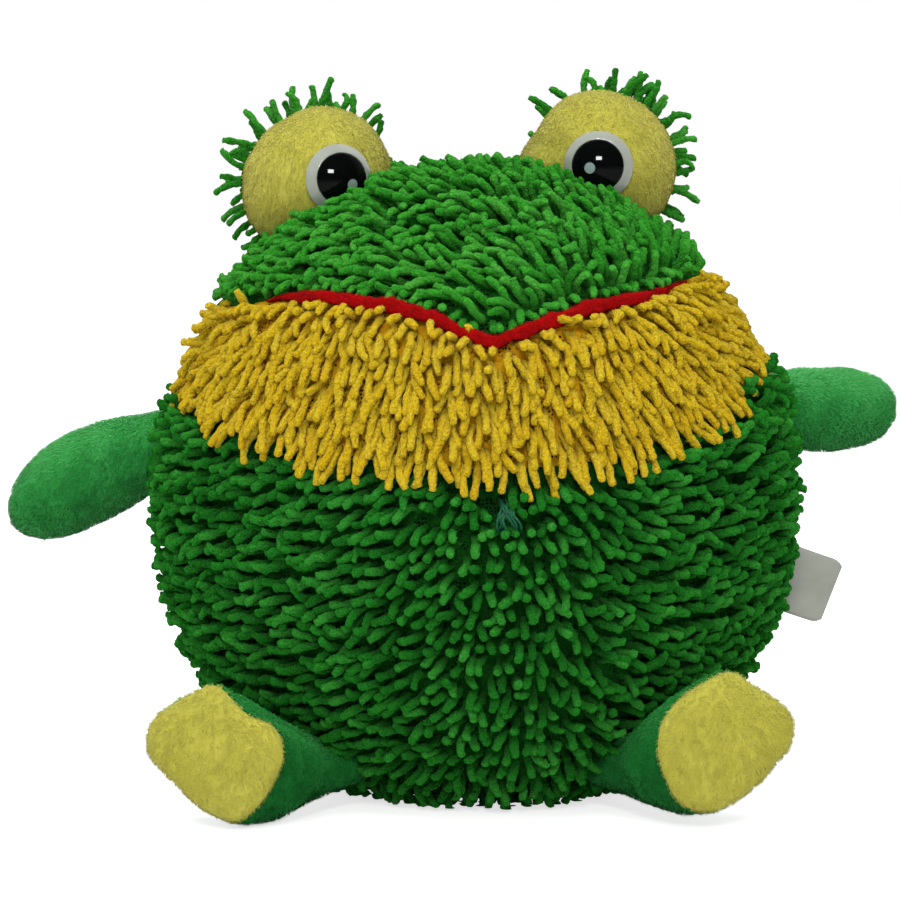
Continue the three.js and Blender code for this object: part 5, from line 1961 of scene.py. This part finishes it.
def floor():
    """A white floor that glows for the camera, and for glossy rays only behind the toy."""
    corners = [(x, y, -FLOOR_CLEARANCE) for x, y in ((-6, -6), (6, -6), (6, 6), (-6, 6))]
    made = new_object("floor", corners, [(0, 1, 2, 3)])
    material, tree = new_material("white_floor")
    shader = tree.nodes["Principled BSDF"]
    shader.inputs["Base Color"].default_value = (0.9, 0.9, 0.9, 1)
    shader.inputs["Roughness"].default_value = 1.0
    shader.inputs["Specular IOR Level"].default_value = 0.0
    glow = add(tree, "ShaderNodeEmission")
    glow.inputs["Color"].default_value = (1, 1, 1, 1)
    rays = add(tree, "ShaderNodeLightPath").outputs
    behind = dimmed_in_front(tree, object_place(tree), -0.1, 0.2, 0.0)
    mirrored = math_node(tree, "MULTIPLY", rays["Is Glossy Ray"], behind)
    seen = math_node(tree, "MAXIMUM", rays["Is Camera Ray"], mirrored)
    seen = math_node(tree, "MAXIMUM", seen, rays["Is Transmission Ray"])
    tree.links.new(math_node(tree, "MULTIPLY", seen, FLOOR_GLOW), glow.inputs["Strength"])
    both = add(tree, "ShaderNodeAddShader")
    tree.links.new(shader.outputs["BSDF"], both.inputs[0])
    tree.links.new(glow.outputs["Emission"], both.inputs[1])
    tree.links.new(both.outputs["Shader"], tree.nodes["Material Output"].inputs["Surface"])
    made.data.materials.append(material)


def studio():
    """A white world that the camera sees bright, the toy a good deal dimmer."""
    world = bpy.data.worlds.new("studio")
    bpy.context.scene.world = world
    world.use_nodes = True
    tree = world.node_tree
    rays = add(tree, "ShaderNodeLightPath").outputs
    direct = math_node(tree, "MAXIMUM", rays["Is Camera Ray"], rays["Is Transmission Ray"])
    way = add(tree, "ShaderNodeTexCoord").outputs["Generated"]
    behind = dimmed_in_front(tree, way, -0.2, 0.4, 0.05)
    mirrored = math_node(tree, "MULTIPLY", rays["Is Glossy Ray"], behind)
    rest = math_node(
        tree, "SUBTRACT", 1.0, math_node(tree, "MAXIMUM", direct, rays["Is Glossy Ray"]))
    strength = math_node(tree, "ADD", math_node(tree, "MULTIPLY", rest, FILL_LEVEL), direct)
    sky = tree.nodes["Background"]
    sky.inputs["Color"].default_value = (1, 1, 1, 1)
    tree.links.new(math_node(tree, "ADD", strength, mirrored), sky.inputs["Strength"])


def lamp(name, place, size, power):
    """A lamp turned to the middle of the toy."""
    data = bpy.data.lights.new(name, "AREA")
    data.shape = "RECTANGLE"
    data.size, data.size_y = size
    data.energy = power
    made = shown(bpy.data.objects.new(name, data))
    made.location = place
    aim = Vector((0, 0, WAIST_HEIGHT)) - Vector(place)
    made.rotation_euler = aim.to_track_quat("-Z", "Y").to_euler()
    return made


def lights():
    """The soft boxes don't show in glossy surfaces; the window shows only there."""
    for name, (place, size, power) in LAMPS.items():
        made = lamp(name, place, size, power)
        made.visible_glossy = name == "window"
        made.visible_diffuse = name != "window"


def camera():
    """The photograph's view: level with the face, looking down a little."""
    data = bpy.data.cameras.new("camera")
    data.sensor_width = SENSOR
    data.lens = SENSOR * CAMERA_DISTANCE / FRAME_WIDTH
    data.shift_x = (FRAME_PIXELS / 2 - CENTRE_PIXEL[0]) / FRAME_PIXELS
    data.shift_y = (CENTRE_PIXEL[1] - FRAME_PIXELS / 2) / FRAME_PIXELS
    made = shown(bpy.data.objects.new("camera", data))
    ahead = Vector((0, math.cos(CAMERA_ELEVATION), -math.sin(CAMERA_ELEVATION)))
    made.location = Vector(BODY_CENTRE) - ahead * CAMERA_DISTANCE
    made.rotation_euler = ahead.to_track_quat("-Z", "Y").to_euler()
    bpy.context.scene.camera = made


# The toy, piece by piece

def build_body():
    """Cloth, pile and trim of the stuffed body."""
    for panel in PANELS:
        dress(cloth_panel(panel), KNIT[panel], "body", [f"{panel}_panel"])
    for panel in PANELS:
        body_pile(panel)
    mouth_strip()
    side_label()
    thread_tail()


def build_limbs():
    """Arms, legs and eye pods on both sides."""
    for name in SIDES:
        arm(name)
        leg(name)
        sole(name)
        pod_front(name)
        pod_back(name)
        pod_pile(name)
        safety_eye(name)


bpy.context.scene.view_settings.view_transform = "Standard"
camera()
lights()
floor()
studio()
build_body()
build_limbs()
finish_inner_nodes()
